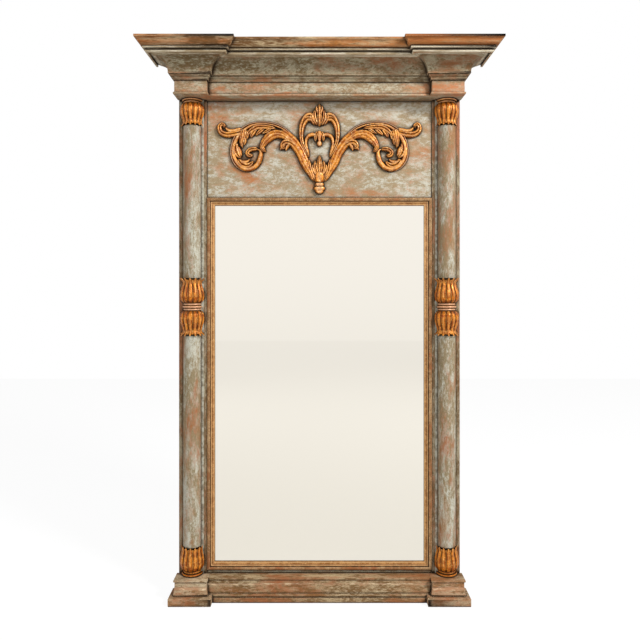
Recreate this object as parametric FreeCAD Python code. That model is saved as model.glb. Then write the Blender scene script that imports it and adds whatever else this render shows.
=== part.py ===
"""Trumeau mirror: a flat back frame with half-round columns, a breakfront cornice and a carved frieze.

Millimetres.  +Z is up, +Y points to the wall, +X is the viewer's right.  The origin lies on the back face of
the header, where the mirror touches the wall, half way up the entablature.
"""
import FreeCAD, Part
import math
import os

os.makedirs("parts", exist_ok=True)

# ---- overall sizes ------------------------------------------------------------------------------------------
frame_width = 788.0            # over the outer edges of the two stiles
overall_height = 1520.0        # plinth underside to the top of the crown mould
frame_thickness = 24.0         # stiles, header and bottom rail

# ---- back frame ---------------------------------------------------------------------------------------------
stile_width = 78.0
panel_recess = 3.0             # frieze panel and bottom rail lie this far behind the stile face
panel_thickness = 9.0
groove_depth = 8.0             # grooves in the stiles and header that take the panel's tongues
mid_rail_height = 60.0
tenon_length = 30.0
tenon_thickness = 8.0
tenon_shoulder = 10.0          # left above and below each tenon
entablature_height = 128.0
lower_rail_height = 74.0       # plinth underside to the sight moulding

# ---- glass and its mouldings --------------------------------------------------------------------------------
opening_height = 1001.0        # glass that shows
sight_width = 10.0             # painted bead next to the stiles
sight_proud = 3.0              # crown of the bead in front of the stile face
slip_width = 12.0              # gilt slip between the bead and the glass
slip_outer_proud = -2.0        # slip against the bead, behind the stile face
slip_inner_proud = -7.0        # slip at the glass
slip_nose = 3.0                # rounded edge of the slip
slip_step = 1.0                # fall of the slip's face before its nose
slip_swell = 0.2               # crown of the nose
slip_nose_middle = 0.3         # its place, as a share of the nose
plate_thickness = 4.0
plate_front = 10.0             # glass surface, behind the stile face
plate_play = 1.0               # round the plate, inside the sight moulding
back_board_thickness = 5.0
back_board_lap = 8.0           # of the back board in the frame's rear rebate
board_screws_across = 4
board_screw_end = 20.0         # first screw in from the stile
board_screw_head = 2.8
board_screw_shank = 1.3
board_screw_length = 9.0
screw_sides = 8
glue_block_length = 40.0
glue_block_width = 6.0
glue_blocks_per_side = 5
glue_blocks_across = 3

# ---- columns ------------------------------------------------------------------------------------------------
column_offset = 38.0           # column centre, in from the stile's outer edge
shaft_radius = 25.5
base_height = 79.5
collar_height = 160.0
collar_centre = 813.0          # above the plinth underside
capital_height = 75.0
lotus_petals = 7               # over the half circle
petal_relief = 0.06            # depth of the gaps between petals, as a share of the radius
ribs_per_petal = 2             # facets across one petal
bulge_radius = 34.0
waist_radius = 27.0            # above the bulge, where the petals draw in
tip_radius = 32.5              # petal tips, turned out
neck_radius = 25.0
base_ring_radius = 27.5
collar_ring_radius = 28.0      # middle one of the collar's three rings
capital_ring_height = 10.0
base_ring_height = 12.0
collar_ring_height = 7.0
ring_edge = 0.3                # rounded edge of a ring, as a share of its height
ring_edge_rise = 0.6           # height of that edge over its depth
# Lotus bell, as (share of its length from the ring to the petal tips, radius).
LOTUS_BELL = ((0.0, neck_radius), (0.07, bulge_radius - 3.0), (0.2, bulge_radius), (0.4, bulge_radius - 1.0),
              (0.8, waist_radius), (1.0, tip_radius))

# ---- plinths and base rail ----------------------------------------------------------------------------------
plinth_width = 87.0
plinth_depth = 44.0            # in front of the stile face
plinth_inset = 84.5            # plinth's inner side, in from the frame's outer edge
plinth_height = 66.5
rail_back = 16.0               # the base board stands back from the plinths
plinth_cap_thickness = 5.0
plinth_cap_overhang = 3.0
foot_height = 24.0
foot_projection = 15.0
foot_round = 3.0
ledge_lip = 3.5                # fillet on the plinth above its foot
ledge_lip_height = 3.5
hollow_height = 20.0           # of both hollows that run up to the cap
hollow_edge = 0.3              # their thin upper edge
hollow_middle = (0.35, 0.4)    # share of the depth and of the height half way up a hollow
round_middle = 0.3             # middle of a rounded corner, as a share of its radius
rail_foot_projection = 10.0
rail_foot_height = 15.5
rail_bead_step = 1.0           # the bead stands back from the foot
rail_bead_depth = 2.0
rail_lip_step = 4.0            # the fillet stands back from the bead
rail_bead_height = 10.0
rail_lip_height = 5.0

# ---- entablature --------------------------------------------------------------------------------------------
block_width = 88.0
block_depth = 58.0             # in front of the stile face
break_back = 18.0              # the centre stands back from the end blocks
return_gap = 9.0               # the mouldings' returns end this far in front of the stile face
necking_height = 5.0
necking_projection = 3.0
fascia_height = 33.0
bed_height = 17.0
bed_projection = 14.0
bed_fillet = 2.5
bed_nose = 4.0                 # projection of the lower fillet
bed_shoulder = 9.5             # projection of the ogee under the top fillet
bed_top_fillet = 3.0
bed_bow = 0.9                  # swell of the ogee's two curves
cove_height = 36.5
cove_projection = 42.5
cove_lip = 1.0
cove_middle = (0.2, 0.53)      # share of the projection and of the height
crown_projection = 85.0
cyma_bow = 0.8
top_fillet_height = 5.5
top_fillet_step = 1.0
crown_rebate = 20.0            # lap of the dust board on the crown mould
dust_board_thickness = 12.0
# Crown mould below its cyma, as (projection, height above the mould's underside).
SOFFIT_END = (55.5, 4.5)
DRIP = ((55.5, -1.5), (59.5, -1.5))
CROWN_BEAD = ((59.5, -1.5), (62.5, 2.0), (61.0, 5.2))
CROWN_GROOVE = ((61.0, 5.2), (59.0, 5.2), (59.0, 8.8))
CROWN_FILLET = ((67.5, 8.8), (67.5, 13.0))
CROWN_QUIRK = ((65.5, 13.0), (65.5, 14.8))
CYMA_FOOT = (71.5, 15.6)

# ---- carved ornament ----------------------------------------------------------------------------------------
carving_thickness = 15.0       # greatest relief over the frieze panel
carving_sink = 2.0             # cut flat again where the carving meets the panel
carving_fall = 0.25            # share of its relief that a stem loses by its end
# Rounded section of a stem from its edge to its crown, as (share of the half width, share of the relief).
STEM_SECTION = ((1.0, 0.15), (0.62, 0.62), (0.0, 1.0))
# Relief of each kind of stem, as a share of the thickness of the carving.
RELIEF = {"crest": 1.0, "main": 0.95, "palmette": 0.9, "falling_leaf": 0.85, "tail": 0.8, "pendant": 0.8,
          "knob": 0.8, "curl": 0.75, "inner_leaf": 0.7, "volute_leaf": 0.6}

# ---- hangers ------------------------------------------------------------------------------------------------
hanger_height = 1270.0         # ring axis above the plinth underside
hanger_pocket_depth = 8.5
hanger_pocket_width = 52.0
hanger_pocket_above = 27.0
hanger_pocket_below = 84.0
ring_wire = 4.0
ring_radius = 20.0             # centre line of the D
bow_steps = 16                 # straight facets round the bow
wire_sides = 8
ring_play = 0.05               # between the ring's bar and the strap's eye
eye_sides = 20
strap_width = 20.0
strap_length = 72.0
strap_thickness = 1.5
eye_gap = 0.4                  # ring wire over the strap when it hangs
screw_head_radius = 3.6
screw_radius = 1.9
screw_head_height = 1.4
screw_length = 12.0
hanger_screws_each = 3
hanger_screw_first = 34.0      # first screw below the ring axis
hanger_screw_pitch = 14.0

# ---- places worked out from the sizes above -----------------------------------------------------------------
origin_height = overall_height - entablature_height / 2.0
half_frame = frame_width / 2.0
half_panel = half_frame - stile_width
half_sight = half_panel - sight_width
half_opening = half_sight - slip_width
stile_face = -frame_thickness
panel_face = stile_face + panel_recess
column_x = half_frame - column_offset
entablature_bottom = overall_height - entablature_height
sight_bottom = lower_rail_height
sight_top = sight_bottom + opening_height + 2.0 * (sight_width + slip_width)
core_top = overall_height - dust_board_thickness
plinth_inner = half_frame - plinth_inset
plinth_outer = plinth_inner + plinth_width
block_inner = half_frame - block_width
bed_bottom = entablature_bottom + necking_height + fascia_height
cove_bottom = bed_bottom + bed_height
crown_bottom = cove_bottom + cove_height
base_top = plinth_height + base_height
collar_bottom = collar_centre - collar_height / 2.0
collar_top = collar_centre + collar_height / 2.0
capital_bottom = entablature_bottom - capital_height

SIDES = (("left", -1), ("right", 1))
flatness = 0.001


def up(height):
    """Z of a height above the plinth underside."""
    return height - origin_height


def vec(x, y, z):
    return FreeCAD.Vector(x, y, z)


def box(x0, x1, y0, y1, bottom, top):
    """Box between two X, two Y and two heights above the plinth underside."""
    low_x = min(x0, x1)
    low_y = min(y0, y1)
    corner = vec(low_x, low_y, up(bottom))
    return Part.makeBox(abs(x1 - x0), abs(y1 - y0), top - bottom, corner)


def face_of(points):
    """Flat face through a closed run of corner points."""
    return Part.Face(Part.makePolygon(points + [points[0]]))


def flat(points):
    """True where a closed run of corners lies in one plane."""
    normal = (points[1] - points[0]).cross(points[2] - points[0])
    if normal.Length == 0:
        return False
    return all(abs((p - points[0]).dot(normal)) < flatness * normal.Length for p in points[3:])


def faceted(sections):
    """Solid through closed sections of as many corners each, skinned with flat facets."""
    faces = [face_of(sections[0]), face_of(sections[-1])]
    for low, high in zip(sections, sections[1:]):
        for i in range(len(low)):
            j = (i + 1) % len(low)
            quad = [low[i], low[j], high[j], high[i]]
            if flat(quad):
                faces.append(face_of(quad))
            else:
                faces.append(face_of([low[i], low[j], high[j]]))
                faces.append(face_of([low[i], high[j], high[i]]))
    solid = Part.Solid(Part.Shell(faces))
    if solid.Volume < 0:
        solid.reverse()
    return solid


def mirrored(shape, side):
    """The shape itself on the right, its mirror image on the left."""
    if side > 0:
        return shape
    return shape.mirror(vec(0, 0, 0), vec(1, 0, 0))


def save(name, shape):
    """One file for each node."""
    shape.exportStep("parts/" + name + ".step")


# ---- back frame ---------------------------------------------------------------------------------------------
def tenon(x_from, x_to, rail_bottom, rail_top, depth):
    """Stub tenon in the middle of a rail's thickness."""
    middle = -depth / 2.0
    y0 = middle - tenon_thickness / 2.0
    y1 = middle + tenon_thickness / 2.0
    return box(x_from, x_to, y0, y1, rail_bottom + tenon_shoulder, rail_top - tenon_shoulder)


def rail(bottom, top, depth):
    """Rail between the stiles with a tenon at each end."""
    shape = box(-half_panel, half_panel, 0, -depth, bottom, top)
    for side in (-1, 1):
        ends = (side * half_panel, side * (half_panel + tenon_length))
        shape = shape.fuse(tenon(ends[0], ends[1], bottom, top, depth))
    return shape


def rails():
    """(name, bottom, top, thickness) of each rail."""
    panel_back = frame_thickness - panel_recess - panel_thickness
    return (("bottom_rail", 0.0, lower_rail_height, frame_thickness - panel_recess),
            ("mid_rail", sight_top, sight_top + mid_rail_height, panel_back),
            ("header", entablature_bottom, core_top, frame_thickness))


def back_board_box(play):
    """Back board lapping the frame by its rebate."""
    half = half_panel + back_board_lap - play
    bottom = sight_bottom - back_board_lap + play
    return box(-half, half, 0, -back_board_thickness, bottom, sight_top + back_board_lap - play)


def panel_box():
    """Frieze panel with tongues into the stiles and the header."""
    half = half_panel + groove_depth
    return box(-half, half, panel_face, panel_face + panel_thickness, sight_top,
               entablature_bottom + groove_depth)


def hanger_pocket(side):
    """Routed pocket that lets the hanger lie below the back face."""
    x = side * column_x
    half = hanger_pocket_width / 2.0
    return box(x - half, x + half, 0, -hanger_pocket_depth,
               hanger_height - hanger_pocket_below, hanger_height + hanger_pocket_above)


def stile(side):
    shape = box(side * half_panel, side * half_frame, 0, -frame_thickness, 0.0, core_top)
    for name, bottom, top, depth in rails():
        end = side * (half_panel + tenon_length)
        shape = shape.cut(tenon(side * half_panel, end, bottom, top, depth))
    shape = shape.cut(panel_box())
    shape = shape.cut(back_board_box(0.0))
    shape = shape.cut(hanger_pocket(side))
    return shape.cut(hanger_screw_bores(side))


def make_back_frame():
    for name, side in SIDES:
        save("stile_" + name, stile(side))
    for name, bottom, top, depth in rails():
        shape = rail(bottom, top, depth).cut(back_board_box(0.0))
        if name == "header":
            shape = shape.cut(panel_box())
        save(name, shape.cut(back_board_screw_solids()))
    save("frieze_panel", panel_box())
    save("back_board", back_board_box(0.5).cut(back_board_screw_solids()))
    save("back_board_screws", Part.makeCompound(back_board_screw_solids()))


# ---- screws -------------------------------------------------------------------------------------------------
def screw_outline(x, z, y, radius):
    """Regular outline of a screw at one depth."""
    points = []
    for i in range(screw_sides):
        angle = 2.0 * math.pi * i / screw_sides
        points.append(vec(x + radius * math.cos(angle), y, z + radius * math.sin(angle)))
    return points


def screw(x, z, y, head, shank, length):
    """Countersunk screw driven along -Y from the surface at y."""
    stations = ((0.0, head), (-screw_head_height, shank), (-length, shank))
    return faceted([screw_outline(x, z, y + depth, r) for depth, r in stations])


def back_board_screw_solids():
    """Screws along the top and bottom laps of the back board."""
    places = []
    inset = back_board_lap / 2.0
    reach = half_panel - board_screw_end
    for i in range(board_screws_across):
        x = reach * (2.0 * i / (board_screws_across - 1) - 1.0)
        places.append((x, up(sight_top + inset)))
        places.append((x, up(sight_bottom - inset)))
    return [screw(x, z, 0.0, board_screw_head, board_screw_shank, board_screw_length) for x, z in places]


def hanger_screw_places(side):
    first = hanger_height - hanger_screw_first
    return [(side * column_x, up(first - i * hanger_screw_pitch)) for i in range(hanger_screws_each)]


def hanger_screw_solids(side):
    top = -hanger_pocket_depth + strap_thickness
    return [screw(x, z, top, screw_head_radius, screw_radius, screw_length)
            for x, z in hanger_screw_places(side)]


def hanger_screw_bores(side):
    return Part.makeCompound(hanger_screw_solids(side))


# ---- glass and its mouldings --------------------------------------------------------------------------------
def corners(half_x, bottom, top):
    """Corners of an upright rectangle, anticlockwise from the lower left."""
    return [(-half_x, bottom), (half_x, bottom), (half_x, top), (-half_x, top)]


def mitre_prism(inner, outer, index):
    """Wedge over one side of a picture-frame plan, cut at 45 degrees at both ends."""
    nxt = (index + 1) % 4
    plan = [outer[index], outer[nxt], inner[nxt], inner[index]]
    points = [vec(x, -frame_thickness * 2.0, up(h)) for x, h in plan]
    return face_of(points).extrude(vec(0, frame_thickness * 2.0, 0))


def frame_length(section, index, outer, inner):
    """One mitred side: section points are (distance in from the outer edge, Y)."""
    width = half_panel * 2.0
    height = sight_top - sight_bottom
    reach = width + height
    starts = [vec(0, 0, up(outer[0][1])), vec(outer[1][0], 0, 0), vec(0, 0, up(outer[2][1])),
              vec(outer[3][0], 0, 0)]
    inward = [vec(0, 0, 1), vec(-1, 0, 0), vec(0, 0, -1), vec(1, 0, 0)][index]
    along = [vec(1, 0, 0), vec(0, 0, 1), vec(1, 0, 0), vec(0, 0, 1)][index]
    start = starts[index] - along * reach
    edges = []
    for kind, pts in section:
        line = [start + inward * d + vec(0, y, 0) for d, y in pts]
        if kind == "line":
            edges.append(Part.LineSegment(line[0], line[1]).toShape())
        else:
            edges.append(Part.Arc(line[0], line[1], line[2]).toShape())
    prism = Part.Face(Part.Wire(edges)).extrude(along * (2.0 * reach))
    return prism.common(mitre_prism(inner, outer, index))


def sight_section():
    """Square-backed length with a half-round bead along its front."""
    back = -back_board_thickness
    crown = stile_face - sight_proud
    shoulder = crown + sight_width / 2.0
    return [("line", [(0.0, back), (0.0, shoulder)]),
            ("arc", [(0.0, shoulder), (sight_width / 2.0, crown), (sight_width, shoulder)]),
            ("line", [(sight_width, shoulder), (sight_width, back)]),
            ("line", [(sight_width, back), (0.0, back)])]


def slip_section():
    """Slip that falls from the bead to the glass, with a small round nose."""
    glass = stile_face + plate_front
    outer_front = stile_face - slip_outer_proud
    inner_front = stile_face - slip_inner_proud
    nose_start = (slip_width - slip_nose, inner_front - slip_step)
    nose_crown = (slip_width - slip_nose * slip_nose_middle, inner_front + slip_swell)
    nose_end = (slip_width, inner_front + slip_nose - slip_step / 2.0)
    return [("line", [(0.0, glass), (0.0, outer_front)]),
            ("line", [(0.0, outer_front), nose_start]),
            ("arc", [nose_start, nose_crown, nose_end]),
            ("line", [nose_end, (slip_width, glass)]),
            ("line", [(slip_width, glass), (0.0, glass)])]


def glue_block_solids():
    """Small blocks glued inside the rebate that keep the plate against the slip."""
    y0 = -back_board_thickness
    y1 = stile_face + plate_front + plate_thickness
    inner_bottom = sight_bottom + sight_width
    inner_top = sight_top - sight_width
    blocks = []
    for i in range(glue_blocks_per_side):
        middle = inner_bottom + (inner_top - inner_bottom) * (i + 0.5) / glue_blocks_per_side
        low = middle - glue_block_length / 2.0
        for side in (-1, 1):
            inner = side * (half_sight - glue_block_width)
            blocks.append(box(side * half_sight, inner, y0, y1, low, low + glue_block_length))
    for i in range(glue_blocks_across):
        middle = half_sight * 2.0 * ((i + 0.5) / glue_blocks_across - 0.5)
        x0 = middle - glue_block_length / 2.0
        x1 = middle + glue_block_length / 2.0
        blocks.append(box(x0, x1, y0, y1, inner_bottom, inner_bottom + glue_block_width))
        blocks.append(box(x0, x1, y0, y1, inner_top - glue_block_width, inner_top))
    return blocks


def make_glazing():
    inset_1 = sight_width
    inset_2 = sight_width + slip_width
    outer = corners(half_panel, sight_bottom, sight_top)
    middle = corners(half_sight, sight_bottom + inset_1, sight_top - inset_1)
    inner = corners(half_opening, sight_bottom + inset_2, sight_top - inset_2)
    names = ("bottom", "right", "top", "left")
    for index, name in enumerate(names):
        save("sight_moulding_" + name, frame_length(sight_section(), index, outer, middle))
        save("gilt_slip_" + name, frame_length(slip_section(), index, middle, inner))
    half = half_sight - plate_play
    glass = stile_face + plate_front
    save("mirror_plate", box(-half, half, glass, glass + plate_thickness,
                             sight_bottom + inset_1 + plate_play, sight_top - inset_1 - plate_play))
    save("glass_glue_blocks", Part.makeCompound(glue_block_solids()))


# ---- columns ------------------------------------------------------------------------------------------------
def half_disc(x, radius, height):
    """Half-round outline against the stile face."""
    ends = [vec(x - radius, stile_face, up(height)), vec(x + radius, stile_face, up(height))]
    arc = Part.Arc(ends[0], vec(x, stile_face - radius, up(height)), ends[1]).toShape()
    return Part.Face(Part.Wire([arc, Part.LineSegment(ends[1], ends[0]).toShape()]))


def shaft(side, bottom, top):
    return half_disc(side * column_x, shaft_radius, bottom).extrude(vec(0, 0, top - bottom))


def petal_outline(radius, relief, height):
    """Half-round outline scalloped into petals, drawn with straight facets; its copies are similar figures."""
    points = []
    steps = lotus_petals * ribs_per_petal
    for i in range(steps + 1):
        angle = math.pi * i / steps
        swell = abs(math.sin(math.pi * i / ribs_per_petal))
        r = radius * (1.0 - relief * (1.0 - swell))
        points.append(vec(r * math.cos(angle), stile_face - r * math.sin(angle), up(height)))
    return points


def lotus_bell(start, end):
    """Petalled bell from its ring at start to its petal tips at end."""
    return faceted([petal_outline(r, petal_relief, start + (end - start) * t) for t, r in LOTUS_BELL])


def ring(radius, bottom, top):
    """Half-round turned ring with a rounded edge."""
    height = top - bottom
    edge = height * ring_edge
    rise = edge * ring_edge_rise
    stations = ((bottom, radius - edge), (bottom + rise, radius), (top - rise, radius), (top, radius - edge))
    return faceted([petal_outline(r, 0.0, h) for h, r in stations])


def place(shape, side):
    shape.translate(vec(side * column_x, 0, 0))
    return shape


def collar():
    """Two bells back to back on three rings."""
    low = collar_centre - 1.5 * collar_ring_height
    high = collar_centre + 1.5 * collar_ring_height
    shape = lotus_bell(low, collar_bottom).fuse(lotus_bell(high, collar_top))
    for i, radius in enumerate((neck_radius, collar_ring_radius, neck_radius)):
        level = low + i * collar_ring_height
        shape = shape.fuse(ring(radius, level, level + collar_ring_height))
    return shape


def make_columns():
    for name, side in SIDES:
        save("column_shaft_lower_" + name, shaft(side, base_top, collar_bottom))
        save("column_shaft_upper_" + name, shaft(side, collar_top, capital_bottom))
        ring_bottom = entablature_bottom - capital_ring_height
        capital = lotus_bell(ring_bottom, capital_bottom).fuse(ring(neck_radius, ring_bottom, entablature_bottom))
        save("capital_" + name, place(capital, side))
        ring_top = plinth_height + base_ring_height
        base = lotus_bell(ring_top, base_top).fuse(ring(base_ring_radius, plinth_height, ring_top))
        save("column_base_" + name, place(base, side))
        save("column_collar_" + name, place(collar(), side))


# ---- breakfront mouldings -----------------------------------------------------------------------------------
def breakfront(inner, outer, depth, back, rear):
    """Plan of the faces that carry a moulding, from its left end at the rear line to its right end."""
    front = stile_face - depth
    centre = front + back
    half = [(outer, rear), (outer, front), (inner, front), (inner, centre)]
    return [(-x, y) for x, y in half] + [(x, y) for x, y in reversed(half)]


def outward(a, b):
    """Unit normal on the outer side of a plan edge walked from left to right."""
    dx = b[0] - a[0]
    dy = b[1] - a[1]
    length = math.hypot(dx, dy)
    return (dy / length, -dx / length)


def moulding_prism(start, along, length, normal, section):
    """Straight moulding from a plan point, its section standing out along the normal."""
    edges = []
    for kind, pts in section:
        line = [start + vec(normal[0] * p, normal[1] * p, up(h)) for p, h in pts]
        if kind == "line":
            edges.append(Part.LineSegment(line[0], line[1]).toShape())
        else:
            edges.append(Part.Arc(line[0], line[1], line[2]).toShape())
    return Part.Face(Part.Wire(edges)).extrude(along * length)


def mitred(path, index, section):
    """Moulding along one edge of the plan, cut at the mitres; section is a list of edges in (p, height)."""
    reach = crown_projection * 1.5
    a = path[index]
    b = path[index + 1]
    n = outward(a, b)
    along = vec(b[0] - a[0], b[1] - a[1], 0).normalize()
    start = vec(a[0], a[1], 0) - along * reach
    length = math.hypot(b[0] - a[0], b[1] - a[1]) + 2.0 * reach
    prism = moulding_prism(start, along, length, n, section)
    plan = [a, b, mitre_point(path, index + 1, reach), mitre_point(path, index, reach)]
    wedge = face_of([vec(x, y, up(-1.0)) for x, y in plan]).extrude(vec(0, 0, overall_height + 2.0))
    return prism.common(wedge)


def mitre_point(path, index, reach):
    """Plan point at a given projection on the mitre line through a corner of the path."""
    x, y = path[index]
    normals = []
    if index > 0:
        normals.append(outward(path[index - 1], path[index]))
    if index < len(path) - 1:
        normals.append(outward(path[index], path[index + 1]))
    shift_x = sum(n[0] for n in normals) if len(normals) > 1 else normals[0][0]
    shift_y = sum(n[1] for n in normals) if len(normals) > 1 else normals[0][1]
    return (x + shift_x * reach, y + shift_y * reach)


def save_run(name, path, section):
    """Left set, centre length and right set of one moulding."""
    sets = (("left", (0, 1, 2)), ("center", (3,)), ("right", (4, 5, 6)))
    for part, edges in sets:
        solids = [mitred(path, i, section) for i in edges]
        shape = solids[0] if len(solids) == 1 else Part.makeCompound(solids)
        save(name + "_" + part, shape)


def polyline(points):
    """Straight edges between (p, height) points, in the form that the sections use."""
    return [("line", [points[i], points[i + 1]]) for i in range(len(points) - 1)]


def lifted(points, height):
    """Section points moved up by a height."""
    return [(p, h + height) for p, h in points]


def ogee(foot, head, bow):
    """Two arcs from foot to head that swell by the bow, the lower outwards."""
    middle = ((foot[0] + head[0]) / 2.0, (foot[1] + head[1]) / 2.0)
    lower = ((foot[0] + middle[0]) / 2.0 + bow, (foot[1] + middle[1]) / 2.0 - bow)
    upper = ((head[0] + middle[0]) / 2.0 - bow, (head[1] + middle[1]) / 2.0 + bow)
    return [("arc", [foot, lower, middle]), ("arc", [middle, upper, head])]


def bed_section():
    """Small fillet, ogee and top fillet under the cove."""
    h0 = bed_bottom
    foot = (bed_nose, h0 + bed_fillet)
    head = (bed_shoulder, cove_bottom - bed_top_fillet)
    return (polyline([(0, h0), (bed_nose, h0), foot])
            + ogee(foot, head, -bed_bow)
            + polyline([head, (bed_projection, head[1]), (bed_projection, cove_bottom), (0, cove_bottom),
                        (0, h0)]))


def cove_section():
    """Quarter hollow from the bed mould out to the soffit."""
    h0 = cove_bottom
    h1 = crown_bottom
    start = (bed_projection, h0 + cove_lip)
    middle = (start[0] + (cove_projection - bed_projection) * cove_middle[0],
              start[1] + (h1 - start[1]) * cove_middle[1])
    return (polyline([(0, h0), (bed_projection, h0), start])
            + [("arc", [start, middle, (cove_projection, h1)])]
            + polyline([(cove_projection, h1), (0, h1), (0, h0)]))


def crown_section():
    """Sloping soffit, drip, bead, groove, fillet, cyma and top fillet."""
    h = crown_bottom
    top = overall_height
    foot = lifted([CYMA_FOOT], h)[0]
    head = (crown_projection - top_fillet_step, top - top_fillet_height)
    return (polyline([(0, h), (cove_projection, h)] + lifted((SOFFIT_END,) + DRIP, h))
            + [("arc", lifted(CROWN_BEAD, h))]
            + polyline(lifted(CROWN_GROOVE + CROWN_FILLET + CROWN_QUIRK, h) + [foot])
            + ogee(foot, head, cyma_bow)
            + polyline([head, (crown_projection, head[1]), (crown_projection, top), (crown_rebate, top),
                        (crown_rebate, core_top), (0, core_top), (0, h)]))


def hollow(lip, height):
    """Shallow hollow that runs up from a fillet."""
    middle = (lip * hollow_middle[0], height + hollow_height * hollow_middle[1])
    return [("arc", [(lip, height), middle, (hollow_edge, height + hollow_height)])]


def plinth_foot_section():
    """Rounded square foot, a ledge and a shallow hollow up to the die."""
    p = foot_projection
    r = foot_round
    h1 = foot_height
    h2 = h1 + ledge_lip_height
    lip = ledge_lip
    return (polyline([(0, 0), (p - r, 0)])
            + [("arc", [(p - r, 0), (p - r * round_middle, r * round_middle), (p, r)])]
            + polyline([(p, r), (p, h1 - r)])
            + [("arc", [(p, h1 - r), (p - r * round_middle, h1 - r * round_middle), (p - r, h1)])]
            + polyline([(p - r, h1), (lip, h1), (lip, h2)])
            + hollow(lip, h2)
            + polyline([(hollow_edge, h2 + hollow_height), (0, h2 + hollow_height), (0, 0)]))


def rail_foot_section():
    """Low foot, a bead over it, a fillet and a deeper hollow up to the cap."""
    p = rail_foot_projection
    r = foot_round
    h1 = rail_foot_height
    h2 = h1 + rail_bead_height
    bead = p - rail_bead_step
    seat = bead - rail_bead_depth
    lip = bead - rail_lip_step
    h3 = h2 + rail_lip_height
    return (polyline([(0, 0), (p - r, 0)])
            + [("arc", [(p - r, 0), (p - r * round_middle, r * round_middle), (p, r)])]
            + polyline([(p, r), (p, h1), (seat, h1), (seat, h1 + rail_bead_step)])
            + [("arc", [(seat, h1 + rail_bead_step), (bead, (h1 + h2) / 2.0), (seat, h2)])]
            + polyline([(seat, h2), (lip, h2), (lip, h3)])
            + hollow(lip, h3)
            + polyline([(hollow_edge, h3 + hollow_height), (0, h3 + hollow_height), (0, 0)]))


def core(x0, x1, depth):
    """Block of the entablature with its necking fillet."""
    shape = box(x0, x1, stile_face, stile_face - depth, entablature_bottom, core_top)
    lip = necking_projection
    wide = box(x0 - lip, x1 + lip, stile_face, stile_face - depth - lip, entablature_bottom,
               entablature_bottom + necking_height)
    return shape.fuse(wide)


def make_entablature():
    rear_line = stile_face - return_gap
    path = breakfront(block_inner, half_frame, block_depth, break_back, rear_line)
    centre = core(-block_inner + necking_projection, block_inner - necking_projection,
                  block_depth - break_back)
    centre = centre.fuse(box(-block_inner, block_inner, stile_face, stile_face - block_depth + break_back,
                             entablature_bottom + necking_height, core_top))
    for name, side in SIDES:
        end = core(block_inner, half_frame, block_depth)
        save("entablature_core_" + name, mirrored(end, side))
        centre = centre.cut(mirrored(end, side))
    save("entablature_core_center", centre.removeSplitter())
    save_run("bed_mould", path, bed_section())
    save_run("cove_mould", path, cove_section())
    save_run("crown_mould", path, crown_section())
    outline = breakfront(block_inner - crown_rebate, half_frame + crown_rebate, block_depth + crown_rebate,
                         break_back, rear_line)
    plan = face_of([vec(x, y, up(core_top)) for x, y in outline])
    board = plan.extrude(vec(0, 0, dust_board_thickness))
    rear = box(-half_frame, half_frame, 0, rear_line, core_top, overall_height)
    save("dust_board", board.fuse(rear).removeSplitter())


def butt_return(path, section):
    """Inner return of the left plinth: mitred in front, square against the base board."""
    a = path[2]
    b = path[3]
    reach = foot_projection * 2.0
    prism = moulding_prism(vec(a[0], a[1] - reach, 0), vec(0, 1, 0), b[1] - a[1] + reach, (1, 0), section)
    corner = mitre_point(path, 2, reach)
    plan = [a, (a[0], b[1]), (a[0] + reach, b[1]), corner]
    return prism.common(face_of([vec(x, y, up(-1.0)) for x, y in plan]).extrude(vec(0, 0, plinth_height)))


def butt_centre(path, section):
    """Moulding of the base rail, from plinth to plinth."""
    a = path[3]
    b = path[4]
    return moulding_prism(vec(a[0], a[1], 0), vec(1, 0, 0), b[0] - a[0], (0, -1), section)


def rail_board(half, front, bottom, top):
    """Board in front of the bottom rail; behind the stile face it keeps between the stiles."""
    inner = min(half, half_panel)
    shape = box(-half, half, stile_face, front, bottom, top)
    return shape.fuse(box(-inner, inner, panel_face, stile_face, bottom, top)).removeSplitter()


def make_plinths():
    path = breakfront(plinth_inner, plinth_outer, plinth_depth, rail_back, stile_face)
    cap_bottom = plinth_height - plinth_cap_thickness
    lip = plinth_cap_overhang
    front = stile_face - plinth_depth
    rail_front = front + rail_back
    for name, side in SIDES:
        block = box(plinth_inner, plinth_outer, stile_face, front, 0.0, cap_bottom)
        save("plinth_block_" + name, mirrored(block, side))
        cap = box(plinth_inner - lip, plinth_outer + lip, stile_face, front - lip, cap_bottom, plinth_height)
        save("plinth_cap_" + name, mirrored(cap, side))
    save("base_board", rail_board(plinth_inner, rail_front, 0.0, cap_bottom))
    save("base_cap", rail_board(plinth_inner - lip, rail_front - lip, cap_bottom, plinth_height))
    returns = [mitred(path, i, plinth_foot_section()) for i in (0, 1, 2)]
    returns[2] = butt_return(path, plinth_foot_section())
    left = Part.makeCompound(returns)
    right = mirrored(left, -1)
    centre = butt_centre(path, rail_foot_section())
    for coped in returns + [mirrored(solid, -1) for solid in returns]:
        centre = centre.cut(coped)
    save("foot_mould_left", left)
    save("foot_mould_right", right)
    save("foot_mould_center", centre)


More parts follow.
